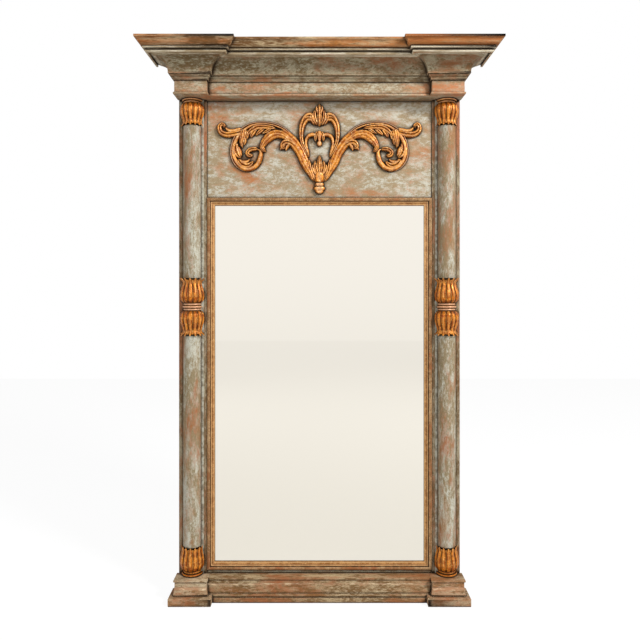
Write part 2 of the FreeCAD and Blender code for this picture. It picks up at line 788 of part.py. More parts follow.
# ---- carved ornament ----------------------------------------------------------------------------------------
# Stems of the right half, as (distance from the centre line, height above the plinth underside, width).
MAIN_STEM = ((10, 1163, 16), (29, 1194, 20), (46, 1224, 28), (62, 1251, 34), (82, 1275, 32), (107, 1294, 27),
             (135, 1305, 25), (163, 1309, 24), (191, 1305, 22), (213, 1293, 20), (230, 1273, 18),
             (237, 1250, 17), (232, 1227, 16), (218, 1208, 15), (199, 1197, 15), (181, 1204, 13),
             (167, 1220, 12), (165, 1238, 11), (174, 1250, 10), (186, 1248, 9))
TAIL = ((190, 1306, 17), (202, 1308, 17), (221, 1298, 16), (243, 1293, 14), (264, 1296, 12), (277, 1307, 10),
        (276, 1318, 8), (267, 1321, 7))
INNER_LEAF = ((108, 1278, 12), (108, 1290, 16), (128, 1291, 15), (146, 1280, 13), (158, 1262, 11),
              (158, 1246, 10), (149, 1242, 8))
FALLING_LEAF = ((200, 1300, 16), (206, 1290, 19), (216, 1270, 15), (216, 1253, 9), (213, 1242, 6))
VOLUTE_LEAF = ((233, 1262, 12), (232, 1244, 14), (218, 1222, 12), (204, 1212, 8), (190, 1211, 6))
OUTER_C = ((22, 1198, 13), (36, 1226, 13), (45, 1258, 14), (52, 1288, 14), (53, 1313, 13), (46, 1334, 12),
           (34, 1341, 11), (20, 1336, 10))
INNER_C = ((13, 1214, 9), (27, 1240, 9), (34, 1266, 9), (31, 1283, 9), (22, 1290, 8), (15, 1284, 7))
CREST = ((0, 1310, 28), (0, 1330, 46), (0, 1350, 44), (0, 1368, 28), (0, 1381, 12))
PENDANT = ((0, 1298, 34), (0, 1284, 46), (0, 1274, 24), (0, 1258, 14), (0, 1248, 8))
PALMETTE = ((0, 1160, 22), (0, 1180, 36), (0, 1205, 38), (0, 1226, 26), (0, 1234, 12))
KNOB = ((0, 1128, 12), (0, 1133, 24), (0, 1140, 26), (0, 1145, 22), (0, 1152, 30), (0, 1158, 28),
        (0, 1163, 20))


def stem_section(x, height, width, direction, relief):
    """Five-sided rounded section across a stem, seated below the panel face."""
    nx = -direction[1]
    nz = direction[0]
    half = width / 2.0
    seat = panel_face + carving_sink
    rising = [(-half * s, panel_face - relief * share) for s, share in STEM_SECTION]
    falling = [(-s, y) for s, y in reversed(rising[:-1])]
    outline = [(-half, seat)] + rising + falling + [(half, seat)]
    return [vec(x + nx * s, y, up(height) + nz * s) for s, y in outline]


def directions(points):
    """Unit tangents at the points of a stem."""
    result = []
    for i in range(len(points)):
        a = points[max(i - 1, 0)]
        b = points[min(i + 1, len(points) - 1)]
        length = math.hypot(b[0] - a[0], b[1] - a[1])
        result.append(((b[0] - a[0]) / length, (b[1] - a[1]) / length))
    return result


def stem(points, kind):
    """Carved stem through its points, thinner towards its end."""
    relief = carving_thickness * RELIEF[kind]
    tangents = directions(points)
    wires = []
    for i, (x, height, width) in enumerate(points):
        fall = 1.0 - carving_fall * i / (len(points) - 1.0)
        wires.append(stem_section(x, height, width, tangents[i], relief * fall))
    return faceted(wires)


def seated(solids):
    """The stems joined and cut flat where they meet the panel."""
    shape = solids[0]
    for solid in solids[1:]:
        shape = shape.fuse(solid)
    half = half_panel
    below = box(-half, half, panel_face, panel_face + 2.0 * carving_sink, sight_top, entablature_bottom)
    return shape.cut(below)


def make_ornament():
    centre = [stem(CREST, "crest"), stem(PENDANT, "pendant"), stem(PALMETTE, "palmette"), stem(KNOB, "knob")]
    for side in (-1, 1):
        for curl in (OUTER_C, INNER_C):
            centre.append(mirrored(stem(curl, "curl"), side))
    cartouche = seated(centre)
    save("ornament_cartouche", cartouche)
    arms = [stem(MAIN_STEM, "main"), stem(TAIL, "tail"), stem(INNER_LEAF, "inner_leaf"),
            stem(FALLING_LEAF, "falling_leaf"), stem(VOLUTE_LEAF, "volute_leaf")]
    arm = seated(arms)
    for name, side in SIDES:
        save("ornament_scroll_" + name, mirrored(arm, side).cut(cartouche))


# ---- hangers ------------------------------------------------------------------------------------------------
def hanger_ring(side):
    """D-shaped ring: a round bar in the strap's eye and a half-round bow below it."""
    x = side * column_x
    y = ring_axis_y()
    z = up(hanger_height)
    wire = ring_wire / 2.0
    sections = [wire_outline(x, y, z, 0.0, wire)]
    for i in range(bow_steps + 1):
        sections.append(wire_outline(x, y, z, math.pi * i / bow_steps, 0.0))
    sections.append(wire_outline(x, y, z, math.pi, wire))
    bow = faceted(sections)
    bar = Part.makeCylinder(wire, 2.0 * ring_radius, vec(x - ring_radius, y, z), vec(1, 0, 0))
    return bow.fuse(bar)


def wire_outline(x, y, z, turn, lift):
    """Eight-sided section of the bow, turned about the middle of the bar."""
    points = []
    for i in range(wire_sides):
        angle = 2.0 * math.pi * (i + 0.5) / wire_sides
        r = ring_radius + ring_wire / 2.0 * math.cos(angle)
        points.append(vec(x + r * math.cos(turn), y + ring_wire / 2.0 * math.sin(angle),
                          z + lift - r * math.sin(turn)))
    return points


def ring_axis_y():
    """Y of the ring's bar, measured from the pocket floor."""
    return -hanger_pocket_depth + strap_thickness + eye_gap + ring_wire / 2.0


def hanger_strap(side):
    """Flat strap whose upper end is rolled into an eye round the ring's bar."""
    x = side * column_x
    half = strap_width / 2.0
    z = up(hanger_height)
    y = ring_axis_y()
    floor = -hanger_pocket_depth
    bore = ring_wire / 2.0 + ring_play
    outer = y - floor
    plate = box(x - half, x + half, floor, floor + strap_thickness, hanger_height - strap_length, hanger_height)
    eye = face_of(eye_outline(x - half, y, z, outer)).extrude(vec(strap_width, 0, 0))
    shape = plate.fuse(eye)
    shape = shape.cut(Part.makeCylinder(bore, strap_width + 2.0, vec(x - half - 1.0, y, z), vec(1, 0, 0)))
    for screw_solid in hanger_screw_solids(side):
        shape = shape.cut(screw_solid)
    return shape


def eye_outline(x, y, z, radius):
    """Many-sided outline of the rolled eye, with one side flat on the strap."""
    reach = radius / math.cos(math.pi / eye_sides)
    points = []
    for i in range(eye_sides):
        angle = 2.0 * math.pi * (i + 0.5) / eye_sides
        points.append(vec(x, y - reach * math.cos(angle), z + reach * math.sin(angle)))
    return points


def make_hangers():
    screws = []
    for name, side in SIDES:
        save("hanger_strap_" + name, hanger_strap(side))
        save("hanger_ring_" + name, hanger_ring(side))
        screws += hanger_screw_solids(side)
    save("hanger_screws", Part.makeCompound(screws))


make_back_frame()
make_glazing()
make_columns()
make_entablature()
make_plinths()
make_ornament()
make_hangers()
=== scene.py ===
"""Looks of the trumeau mirror: distressed paint, antique gilding, carved lotus pieces and frieze ornament.

Metres.  +Z is up, +Y points to the wall, +X is the viewer's right.
"""
import math

import bmesh
import bpy
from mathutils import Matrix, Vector


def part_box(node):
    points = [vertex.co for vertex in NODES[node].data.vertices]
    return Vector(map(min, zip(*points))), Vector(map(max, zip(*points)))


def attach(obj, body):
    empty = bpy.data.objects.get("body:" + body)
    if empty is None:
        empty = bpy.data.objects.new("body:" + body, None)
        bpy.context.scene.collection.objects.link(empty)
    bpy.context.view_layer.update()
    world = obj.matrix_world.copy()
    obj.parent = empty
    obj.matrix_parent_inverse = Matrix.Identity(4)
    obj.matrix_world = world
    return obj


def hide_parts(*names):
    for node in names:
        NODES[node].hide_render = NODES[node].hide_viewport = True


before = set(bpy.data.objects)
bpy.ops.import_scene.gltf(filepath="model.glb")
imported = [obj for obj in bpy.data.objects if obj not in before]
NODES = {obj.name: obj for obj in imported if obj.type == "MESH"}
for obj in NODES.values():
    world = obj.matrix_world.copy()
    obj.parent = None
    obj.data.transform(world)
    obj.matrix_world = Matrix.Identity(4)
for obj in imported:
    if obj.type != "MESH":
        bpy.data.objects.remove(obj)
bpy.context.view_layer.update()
MM = 0.001


# ---- places read from the frame -----------------------------------------------------------------------------
def low(node):
    """Lowest corner of a node's box."""
    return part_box(node)[0]


def high(node):
    """Highest corner of a node's box."""
    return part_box(node)[1]


UNDERSIDE = low("stile_left").z
STILE_FACE = low("stile_left").y
PANEL_FACE = low("frieze_panel").y
COLUMN_X = (low("capital_right").x + high("capital_right").x) / 2.0


def up(height):
    """Z of a height in millimetres above the plinth underside."""
    return UNDERSIDE + height * MM


# ---- shader helpers -----------------------------------------------------------------------------------------
class Tree:
    """Short way to add and join shader nodes."""

    def __init__(self, tree):
        self.nodes = tree.nodes
        self.links = tree.links

    def feed(self, value, socket):
        """Links a socket's output, or sets a constant."""
        if isinstance(value, bpy.types.NodeSocket):
            self.links.new(value, socket)
        else:
            socket.default_value = value

    def node(self, kind, inputs=(), **settings):
        made = self.nodes.new("ShaderNode" + kind)
        for key, value in settings.items():
            setattr(made, key, value)
        for key, value in dict(inputs).items():
            self.feed(value, made.inputs[key])
        return made

    def math(self, operation, *values, clamp=False):
        made = self.node("Math", operation=operation, use_clamp=clamp)
        for i, value in enumerate(values):
            self.feed(value, made.inputs[i])
        return made.outputs[0]

    def mix(self, factor, a, b):
        """Colour a at factor 0, b at 1."""
        made = self.node("Mix", data_type="RGBA")
        self.feed(factor, made.inputs[0])
        self.feed(a, made.inputs[6])
        self.feed(b, made.inputs[7])
        return made.outputs[2]

    def ramp(self, value, start, end):
        """0 at start, 1 at end, smooth between."""
        made = self.node("MapRange", interpolation_type="SMOOTHSTEP")
        self.feed(value, made.inputs["Value"])
        self.feed(start, made.inputs["From Min"])
        self.feed(end, made.inputs["From Max"])
        return made.outputs["Result"]

    def weighted(self, *pairs):
        """Sum of values, each given with its weight."""
        shares = [self.math("MULTIPLY", value, weight) for value, weight in pairs]
        total = shares[0]
        for share in shares[1:]:
            total = self.math("ADD", total, share)
        return total

    def stretched(self, vector, scale):
        made = self.node("VectorMath", operation="MULTIPLY")
        self.feed(vector, made.inputs[0])
        self.feed(scale, made.inputs[1])
        return made.outputs[0]

    def noise(self, vector, scale, detail=6.0, roughness=0.6, distortion=0.0):
        made = self.node("TexNoise", {"Scale": scale, "Detail": detail, "Roughness": roughness,
                                      "Distortion": distortion})
        self.feed(vector, made.inputs["Vector"])
        return made.outputs["Fac"]

    def axis(self, vector, name):
        return self.node("SeparateXYZ", {"Vector": vector}).outputs[name]


def rgb(red, green, blue):
    """Linear colour of a colour given in screen values of 0 to 255."""
    values = [v / 255.0 for v in (red, green, blue)]
    return tuple(v / 12.92 if v <= 0.04045 else ((v + 0.055) / 1.055) ** 2.4 for v in values) + (1.0,)


def new_group(name, inputs, outputs):
    """Empty shader group: (group, its Tree, its input sockets, its output sockets)."""
    group = bpy.data.node_groups.new(name, "ShaderNodeTree")
    for label, kind in inputs:
        group.interface.new_socket(label, in_out="INPUT", socket_type="NodeSocket" + kind)
    for label, kind in outputs:
        group.interface.new_socket(label, in_out="OUTPUT", socket_type="NodeSocket" + kind)
    start = group.nodes.new("NodeGroupInput")
    end = group.nodes.new("NodeGroupOutput")
    return group, Tree(group), start.outputs, end.inputs


# ---- shared effects -----------------------------------------------------------------------------------------
GRIT = rgb(88, 68, 44)
CHALK = rgb(214, 206, 184)
BARE_STAIN = rgb(98, 62, 40)
# Umber of the painted shade in corners and recesses.
SHADE_UMBER = rgb(46, 31, 16)
WORN_EDGE_HIGHLIGHT = rgb(220, 196, 160)
EARLY_WOOD = rgb(204, 168, 122)
LATE_WOOD = rgb(172, 132, 88)
FIBRE = rgb(140, 104, 68)
WOOD_STAIN = rgb(112, 84, 56)


def make_paint_group():
    """Old paint: cloudy coats, brushed grain, rub-through patches, worn arrises with painted highlight, painted
    umber shade in recesses.
    """
    group, t, given, out = new_group(
        "distressed_paint",
        [("Vector", "Vector"), ("Grain", "Vector"), ("Open", "Float"), ("Arris", "Float"), ("Light", "Color"),
         ("Dark", "Color"), ("Warm", "Color"), ("Ground", "Color"), ("Rub", "Float")],
        [("Color", "Color"), ("Roughness", "Float"), ("Height", "Float")])
    place = t.stretched(given["Vector"], given["Grain"])
    broad = t.noise(place, 8.0, 4.0, 0.6)
    middle = t.noise(place, 52.0, 6.0, 0.72)
    fine = t.noise(place, 260.0, 5.0, 0.75)
    grit = t.noise(given["Vector"], 620.0, 3.0, 0.7)
    tone = t.weighted((broad, 0.20), (middle, 0.40), (fine, 0.40))
    paint = t.mix(t.ramp(tone, 0.45, 0.55), given["Dark"], given["Light"])
    smudge = t.weighted((t.noise(place, 17.0, 7.0, 0.72), 0.75), (fine, 0.25))
    paint = t.mix(t.math("MULTIPLY", t.ramp(smudge, 0.50, 0.62), 0.75), paint, given["Warm"])
    paint = t.mix(t.math("MULTIPLY", t.ramp(grit, 0.49, 0.37), 0.60), paint, GRIT)
    paint = t.mix(t.math("MULTIPLY", t.ramp(fine, 0.55, 0.70), 0.35), paint, CHALK)
    patches = t.noise(place, 14.0, 8.0, 0.74, 0.4)
    wear = t.weighted((patches, 0.62), (fine, 0.26), (grit, 0.12), (given["Arris"], 0.07))
    edge = t.math("SUBTRACT", 0.65, t.math("MULTIPLY", given["Rub"], 0.20))
    through = t.ramp(wear, edge, t.math("ADD", edge, 0.045))
    halo = t.ramp(wear, t.math("SUBTRACT", edge, 0.055), edge)
    coated = t.mix(t.math("MULTIPLY", halo, 0.5), paint, given["Ground"])
    colour = t.mix(t.math("MULTIPLY", through, 0.9), coated, given["Ground"])
    deep = t.ramp(t.noise(place, 60.0, 6.0, 0.74), 0.54, 0.66)
    colour = t.mix(t.math("MULTIPLY", through, t.math("MULTIPLY", deep, 0.65)), colour, BARE_STAIN)
    # Painted shade: umber darkens corners, creases and recesses through the occlusion mask, broken up by noise.
    umber_and_shade = t.math("MULTIPLY", t.ramp(given["Open"], 0.93, 0.50),
                  t.math("ADD", 0.55, t.math("MULTIPLY", middle, 0.8)), clamp=True)
    colour = t.mix(umber_and_shade, colour, SHADE_UMBER)
    # Pale worn arrises, brightened further as a painted highlight along the edges.
    scuffs = t.ramp(t.noise(place, 130.0, 5.0, 0.75), 0.50, 0.62)
    bright = t.math("MULTIPLY", given["Arris"], t.math("ADD", 0.25, t.math("MULTIPLY", scuffs, 0.75)), clamp=True)
    colour = t.mix(bright, colour, WORN_EDGE_HIGHLIGHT)
    t.feed(colour, out["Color"])
    t.feed(t.math("SUBTRACT", 0.74, t.math("MULTIPLY", through, 0.16)), out["Roughness"])
    relief = t.math("SUBTRACT", t.math("MULTIPLY", fine, 0.7), t.math("MULTIPLY", through, 0.30))
    t.feed(t.math("ADD", relief, t.math("MULTIPLY", grit, 0.35)), out["Height"])
    return group


def make_gilding_group():
    """Leaf gilding over red bole: worn bole patches, painted highlights and glints, umber glazing with painted
    shade in the cuts.
    """
    group, t, given, out = new_group(
        "antique_gilding",
        [("Vector", "Vector"), ("Open", "Float"), ("Highlight", "Float"), ("Leaf", "Color"), ("Deep", "Color"),
         ("Bole", "Color"), ("Glaze", "Color"), ("Bright", "Color"), ("Wear", "Float")],
        [("Color", "Color"), ("Roughness", "Float"), ("Height", "Float")])
    clouds = t.noise(given["Vector"], 75.0, 6.0, 0.72, 0.2)
    fine = t.noise(given["Vector"], 420.0, 5.0, 0.72)
    leaf = t.mix(t.ramp(clouds, 0.43, 0.57), given["Deep"], given["Leaf"])
    leaf = t.mix(t.math("MULTIPLY", t.ramp(fine, 0.50, 0.36), 0.7), leaf, given["Glaze"])
    wear = t.weighted((t.noise(given["Vector"], 120.0, 7.0, 0.72, 0.5), 0.75), (fine, 0.25))
    edge = t.math("SUBTRACT", 0.72, t.math("MULTIPLY", given["Wear"], 0.25))
    bare = t.ramp(wear, edge, t.math("ADD", edge, 0.07))
    colour = t.mix(t.math("MULTIPLY", bare, 0.75), leaf, given["Bole"])
    # Painted shade: umber glazing darkens the cuts through the occlusion mask.
    umber_and_shade = t.math("MULTIPLY", t.ramp(given["Open"], 0.92, 0.36),
                  t.math("ADD", 0.75, t.math("MULTIPLY", clouds, 0.5)), clamp=True)
    colour = t.mix(umber_and_shade, colour, given["Glaze"])
    # Painted glints and highlights on the crests.
    glint = t.math("MULTIPLY", t.ramp(t.noise(given["Vector"], 170.0, 4.0, 0.6), 0.56, 0.68), given["Open"])
    crest = t.math("MULTIPLY", given["Highlight"], t.math("ADD", 0.15, t.math("MULTIPLY", fine, 0.8)))
    crest = t.math("ADD", crest, t.math("MULTIPLY", glint, 0.55), clamp=True)
    colour = t.mix(crest, colour, given["Bright"])
    t.feed(colour, out["Color"])
    t.feed(t.math("ADD", 0.36, t.math("MULTIPLY", t.math("ADD", bare, umber_and_shade), 0.14)), out["Roughness"])
    t.feed(t.math("SUBTRACT", t.math("MULTIPLY", fine, 0.5), t.math("MULTIPLY", bare, 0.4)), out["Height"])
    return group


def make_pine_group():
    """Planed pine: growth rings drawn out along the grain."""
    group, t, given, out = new_group(
        "planed_pine", [("Vector", "Vector"), ("Grain", "Vector")],
        [("Color", "Color"), ("Roughness", "Float"), ("Height", "Float")])
    place = t.stretched(t.stretched(given["Vector"], given["Grain"]), given["Grain"])
    rings = t.math("FRACT", t.math("MULTIPLY", t.noise(place, 7.0, 2.0, 0.4), 16.0))
    band = t.ramp(t.math("ABSOLUTE", t.math("SUBTRACT", rings, 0.5)), 0.05, 0.45)
    fibre = t.noise(place, 220.0, 5.0, 0.65)
    colour = t.mix(band, EARLY_WOOD, LATE_WOOD)
    colour = t.mix(t.math("MULTIPLY", t.ramp(fibre, 0.42, 0.62), 0.45), colour, FIBRE)
    stain = t.ramp(t.noise(given["Vector"], 5.0, 5.0, 0.6), 0.42, 0.66)
    colour = t.mix(t.math("MULTIPLY", stain, 0.35), colour, WOOD_STAIN)
    t.feed(colour, out["Color"])
    t.feed(t.math("ADD", 0.58, t.math("MULTIPLY", fibre, 0.2)), out["Roughness"])
    t.feed(fibre, out["Height"])
    return group


PAINT = make_paint_group()
GILDING = make_gilding_group()
PINE = make_pine_group()


# ---- materials ----------------------------------------------------------------------------------------------
QUIRK_SHADE = rgb(58, 38, 20)
STRIP_GREY = rgb(196, 194, 176)
ROSE_RUB_HIGHLIGHT = rgb(206, 160, 130)
DULL_SPECULAR = 0.20
MASK_SAMPLES = 6
BEVEL_SAMPLES = 4


def new_material(name):
    """New material: (material, its Tree, its shader, the object coordinates)."""
    material = bpy.data.materials.new(name)
    material.use_nodes = True
    t = Tree(material.node_tree)
    shader = material.node_tree.nodes["Principled BSDF"]
    place = t.node("TexCoord").outputs["Object"]
    return material, t, shader, place


def open_mask(t, reach, crease=0.0):
    """1 on open faces, less in corners and cuts, where it paints shade; a crease adds a painted shade line right in
    the corner.
    """
    wide = t.node("AmbientOcclusion", {"Distance": reach}, samples=MASK_SAMPLES).outputs["AO"]
    if not crease:
        return wide
    line = t.node("AmbientOcclusion", {"Distance": crease}, samples=MASK_SAMPLES).outputs["AO"]
    return t.math("MULTIPLY", wide, t.math("ADD", 0.12, t.math("MULTIPLY", line, 0.88)))


def wall_side(t):
    """1 on faces turned to the wall."""
    return t.ramp(t.axis(t.node("NewGeometry").outputs["Normal"], "Y"), 0.80, 0.95)


def arris_mask(t, radius):
    """1 where the surface turns sharply within the radius."""
    rounded = t.node("Bevel", {"Radius": radius}, samples=BEVEL_SAMPLES).outputs["Normal"]
    plain = t.node("NewGeometry").outputs["Normal"]
    dot = t.node("VectorMath", {0: rounded, 1: plain}, operation="DOT_PRODUCT").outputs["Value"]
    return t.ramp(t.math("SUBTRACT", 1.0, dot), 0.02, 0.25)


def placed(t, group, values):
    """Outputs of a shared effect fed with the values."""
    made = t.nodes.new("ShaderNodeGroup")
    made.node_tree = group
    for key, value in values.items():
        t.feed(value, made.inputs[key])
    return made.outputs


def surface(t, shader, colour, roughness, height, strength, distance):
    """Feeds the shader, with the height as fine relief."""
    t.feed(colour, shader.inputs["Base Color"])
    t.feed(roughness, shader.inputs["Roughness"])
    bump = t.node("Bump", {"Strength": strength, "Distance": distance, "Height": height})
    t.feed(bump.outputs["Normal"], shader.inputs["Normal"])


def in_band(t, place, bottom, top):
    """1 between two heights above the plinth underside, in millimetres."""
    height = t.axis(place, "Z")
    return t.math("MULTIPLY", t.ramp(height, up(bottom - 0.3), up(bottom + 0.3)),
                  t.ramp(height, up(top + 0.3), up(top - 0.3)))


def inner_strip(t, place, colour):
    """Colour with the pale, patchy strip along the inner edge of each stile."""
    inside = t.math("SUBTRACT", t.math("ABSOLUTE", t.axis(place, "X")), high("frieze_panel").x)
    strip = t.math("MULTIPLY", t.ramp(inside, 0.0090, 0.0070), t.ramp(inside, -0.0005, 0.0010))
    patches = t.ramp(t.noise(place, 70.0, 6.0, 0.7), 0.42, 0.58)
    pale = t.math("ADD", 0.25, t.math("MULTIPLY", patches, 0.60))
    return t.mix(t.math("MULTIPLY", strip, pale), colour, STRIP_GREY)


def painted(name, grain, light, dark, warm, ground, rub, reach=0.014, band=None, lines=(), inner_edge=False):
    """Distressed paint, bare pine on the wall side.

    A band (low, high, light, dark) has a paler coat; lines are painted shade round the glass; an inner edge has its
    pale strip.
    """
    material, t, shader, place = new_material(name)
    if band:
        bottom, top, pale, pale_dark = band
        inside = in_band(t, place, bottom, top)
        light = t.mix(inside, light, pale)
        dark = t.mix(inside, dark, pale_dark)
        warm = t.mix(inside, warm, pale)
        rub = t.math("MULTIPLY", rub, t.math("SUBTRACT", 1.0, t.math("MULTIPLY", inside, 0.65)))
    # The occlusion mask, reaching as far as the reach, paints umber shade into corners and recesses.
    coat = placed(t, PAINT, {"Vector": place, "Grain": grain, "Open": open_mask(t, reach, 0.005),
                             "Arris": arris_mask(t, 0.0022), "Light": light, "Dark": dark, "Warm": warm,
                             "Ground": ground, "Rub": rub})
    colour = coat["Color"]
    # Painted shade lines in the quirks round the glass.
    if lines:
        colour = lined(t, place, colour, lines, QUIRK_SHADE)
    if inner_edge:
        colour = inner_strip(t, place, colour)
    wood = placed(t, PINE, {"Vector": place, "Grain": grain})
    surface(t, shader, t.mix(wall_side(t), colour, wood["Color"]), coat["Roughness"], coat["Height"], 0.5, 0.0010)
    shader.inputs["Specular IOR Level"].default_value = DULL_SPECULAR
    return material


def from_glass(t, place):
    """Distance in millimetres out from the edge of the visible glass, the same all round its mitred frame."""
    left, right = high("gilt_slip_left").x, low("gilt_slip_right").x
    bottom, top = high("gilt_slip_bottom").z, low("gilt_slip_top").z
    across = t.math("SUBTRACT", t.math("ABSOLUTE", t.axis(place, "X")), (right - left) / 2.0)
    along = t.math("ABSOLUTE", t.math("SUBTRACT", t.axis(place, "Z"), (bottom + top) / 2.0))
    along = t.math("SUBTRACT", along, (top - bottom) / 2.0)
    return t.math("DIVIDE", t.math("MAXIMUM", across, along), MM)


def lined(t, place, colour, lines, tone):
    """Colour with lines painted in the tone at (distance from the glass, half width): dark ones are painted shade,
    pale ones painted highlight.
    """
    distance = from_glass(t, place)
    patchy = t.ramp(t.noise(place, 90.0, 5.0, 0.7), 0.30, 0.55)
    for centre, half in lines:
        off = t.math("ABSOLUTE", t.math("SUBTRACT", distance, centre))
        strength = t.math("ADD", 0.45, t.math("MULTIPLY", patchy, 0.5))
        mask = t.math("MULTIPLY", t.ramp(off, half, half * 0.4), strength)
        colour = t.mix(mask, colour, tone)
    return colour


def gilded(name, leaf, deep, bole, glaze_and_shade, bright, wear, shade_lines, highlight_lines):
    """Gilt slip with painted shade lines in its quirks and painted highlight lines on its ridges."""
    material, t, shader, place = new_material(name)
    # Painted shade from the occlusion mask and a painted highlight on the sharp edges.
    coat = placed(t, GILDING, {"Vector": place, "Open": open_mask(t, 0.005), "Highlight": arris_mask(t, 0.0014),
                               "Leaf": leaf, "Deep": deep, "Bole": bole, "Glaze": glaze_and_shade, "Bright": bright,
                               "Wear": wear})
    # Painted highlight lines on the ridges, then painted shade lines in the quirks.
    colour = lined(t, place, coat["Color"], highlight_lines, bright)
    colour = lined(t, place, colour, shade_lines, glaze_and_shade)
    surface(t, shader, colour, coat["Roughness"], coat["Height"], 0.35, 0.0008)
    shader.inputs["Metallic"].default_value = 0.15
    shader.inputs["Specular IOR Level"].default_value = DULL_SPECULAR
    return material


def carved_gilt(name, leaf, deep, bole, glaze_and_shade, bright, wear):
    """Gilding whose painted shade, glazing and highlights follow light values kept in the mesh; above 1.1 it is
    rose-pale.
    """
    material, t, shader, place = new_material(name)
    cuts = t.node("Attribute", attribute_name="crest").outputs["Fac"]
    # Painted shade: occlusion and the mesh's light values darken the cuts with umber glazing.
    shade = t.math("MULTIPLY", open_mask(t, 0.010), t.math("ADD", 0.40, t.math("MULTIPLY", cuts, 0.70)))
    # Painted highlight on sharp edges and on the ridges of the carving.
    rub_and_highlight = t.math("ADD", t.math("MULTIPLY", arris_mask(t, 0.0012), 0.6),
                    t.math("MULTIPLY", t.ramp(cuts, 0.86, 1.0), 0.50), clamp=True)
    coat = placed(t, GILDING, {"Vector": place, "Open": shade, "Highlight": rub_and_highlight, "Leaf": leaf, "Deep": deep,
                               "Bole": bole, "Glaze": glaze_and_shade, "Bright": bright, "Wear": wear})
    # Rose-pale rubbed gilding with a painted highlight where the light value passes 1.1.
    ring = t.math("MULTIPLY", t.ramp(cuts, 1.1, 1.9), 0.85)
    colour = t.mix(ring, coat["Color"], ROSE_RUB_HIGHLIGHT)
    surface(t, shader, colour, coat["Roughness"], coat["Height"], 0.35, 0.0008)
    shader.inputs["Metallic"].default_value = 0.25
    shader.inputs["Specular IOR Level"].default_value = DULL_SPECULAR
    return material


def pine(name, grain):
    """Bare planed pine."""
    material, t, shader, place = new_material(name)
    wood = placed(t, PINE, {"Vector": place, "Grain": grain})
    surface(t, shader, wood["Color"], wood["Roughness"], wood["Height"], 0.3, 0.0006)
    return material


def plate_mirror():
    """Silvered glass, darker and a shade warmer towards its lower edge: a painted reflection gradient."""
    material, t, shader, place = new_material("silvered_glass")
    reflection_fall = t.ramp(t.axis(place, "Z"), up(90.0), up(1080.0))
    t.feed(t.mix(reflection_fall, rgb(228, 223, 211), rgb(246, 241, 231)), shader.inputs["Base Color"])
    t.feed(t.math("ADD", 0.015, t.math("MULTIPLY", t.noise(place, 6.0), 0.01)), shader.inputs["Roughness"])
    shader.inputs["Metallic"].default_value = 1.0
    return material


def plated_steel():
    """Zinc plating with its fine spangle."""
    material, t, shader, place = new_material("zinc_plated_steel")
    spangle = t.noise(place, 400.0, 4.0, 0.6)
    t.feed(t.mix(spangle, rgb(150, 148, 142), rgb(206, 203, 196)), shader.inputs["Base Color"])
    t.feed(t.math("ADD", 0.28, t.math("MULTIPLY", spangle, 0.2)), shader.inputs["Roughness"])
    shader.inputs["Metallic"].default_value = 1.0
    return material


ALONG_X = (0.30, 1.0, 1.0)
ALONG_Z = (1.0, 1.0, 0.30)
BRUSHED_X = (0.14, 1.0, 1.0)
SMEARED_X = (0.50, 1.0, 1.0)
EVEN = (1.0, 1.0, 1.0)
BOLE = rgb(178, 112, 74)

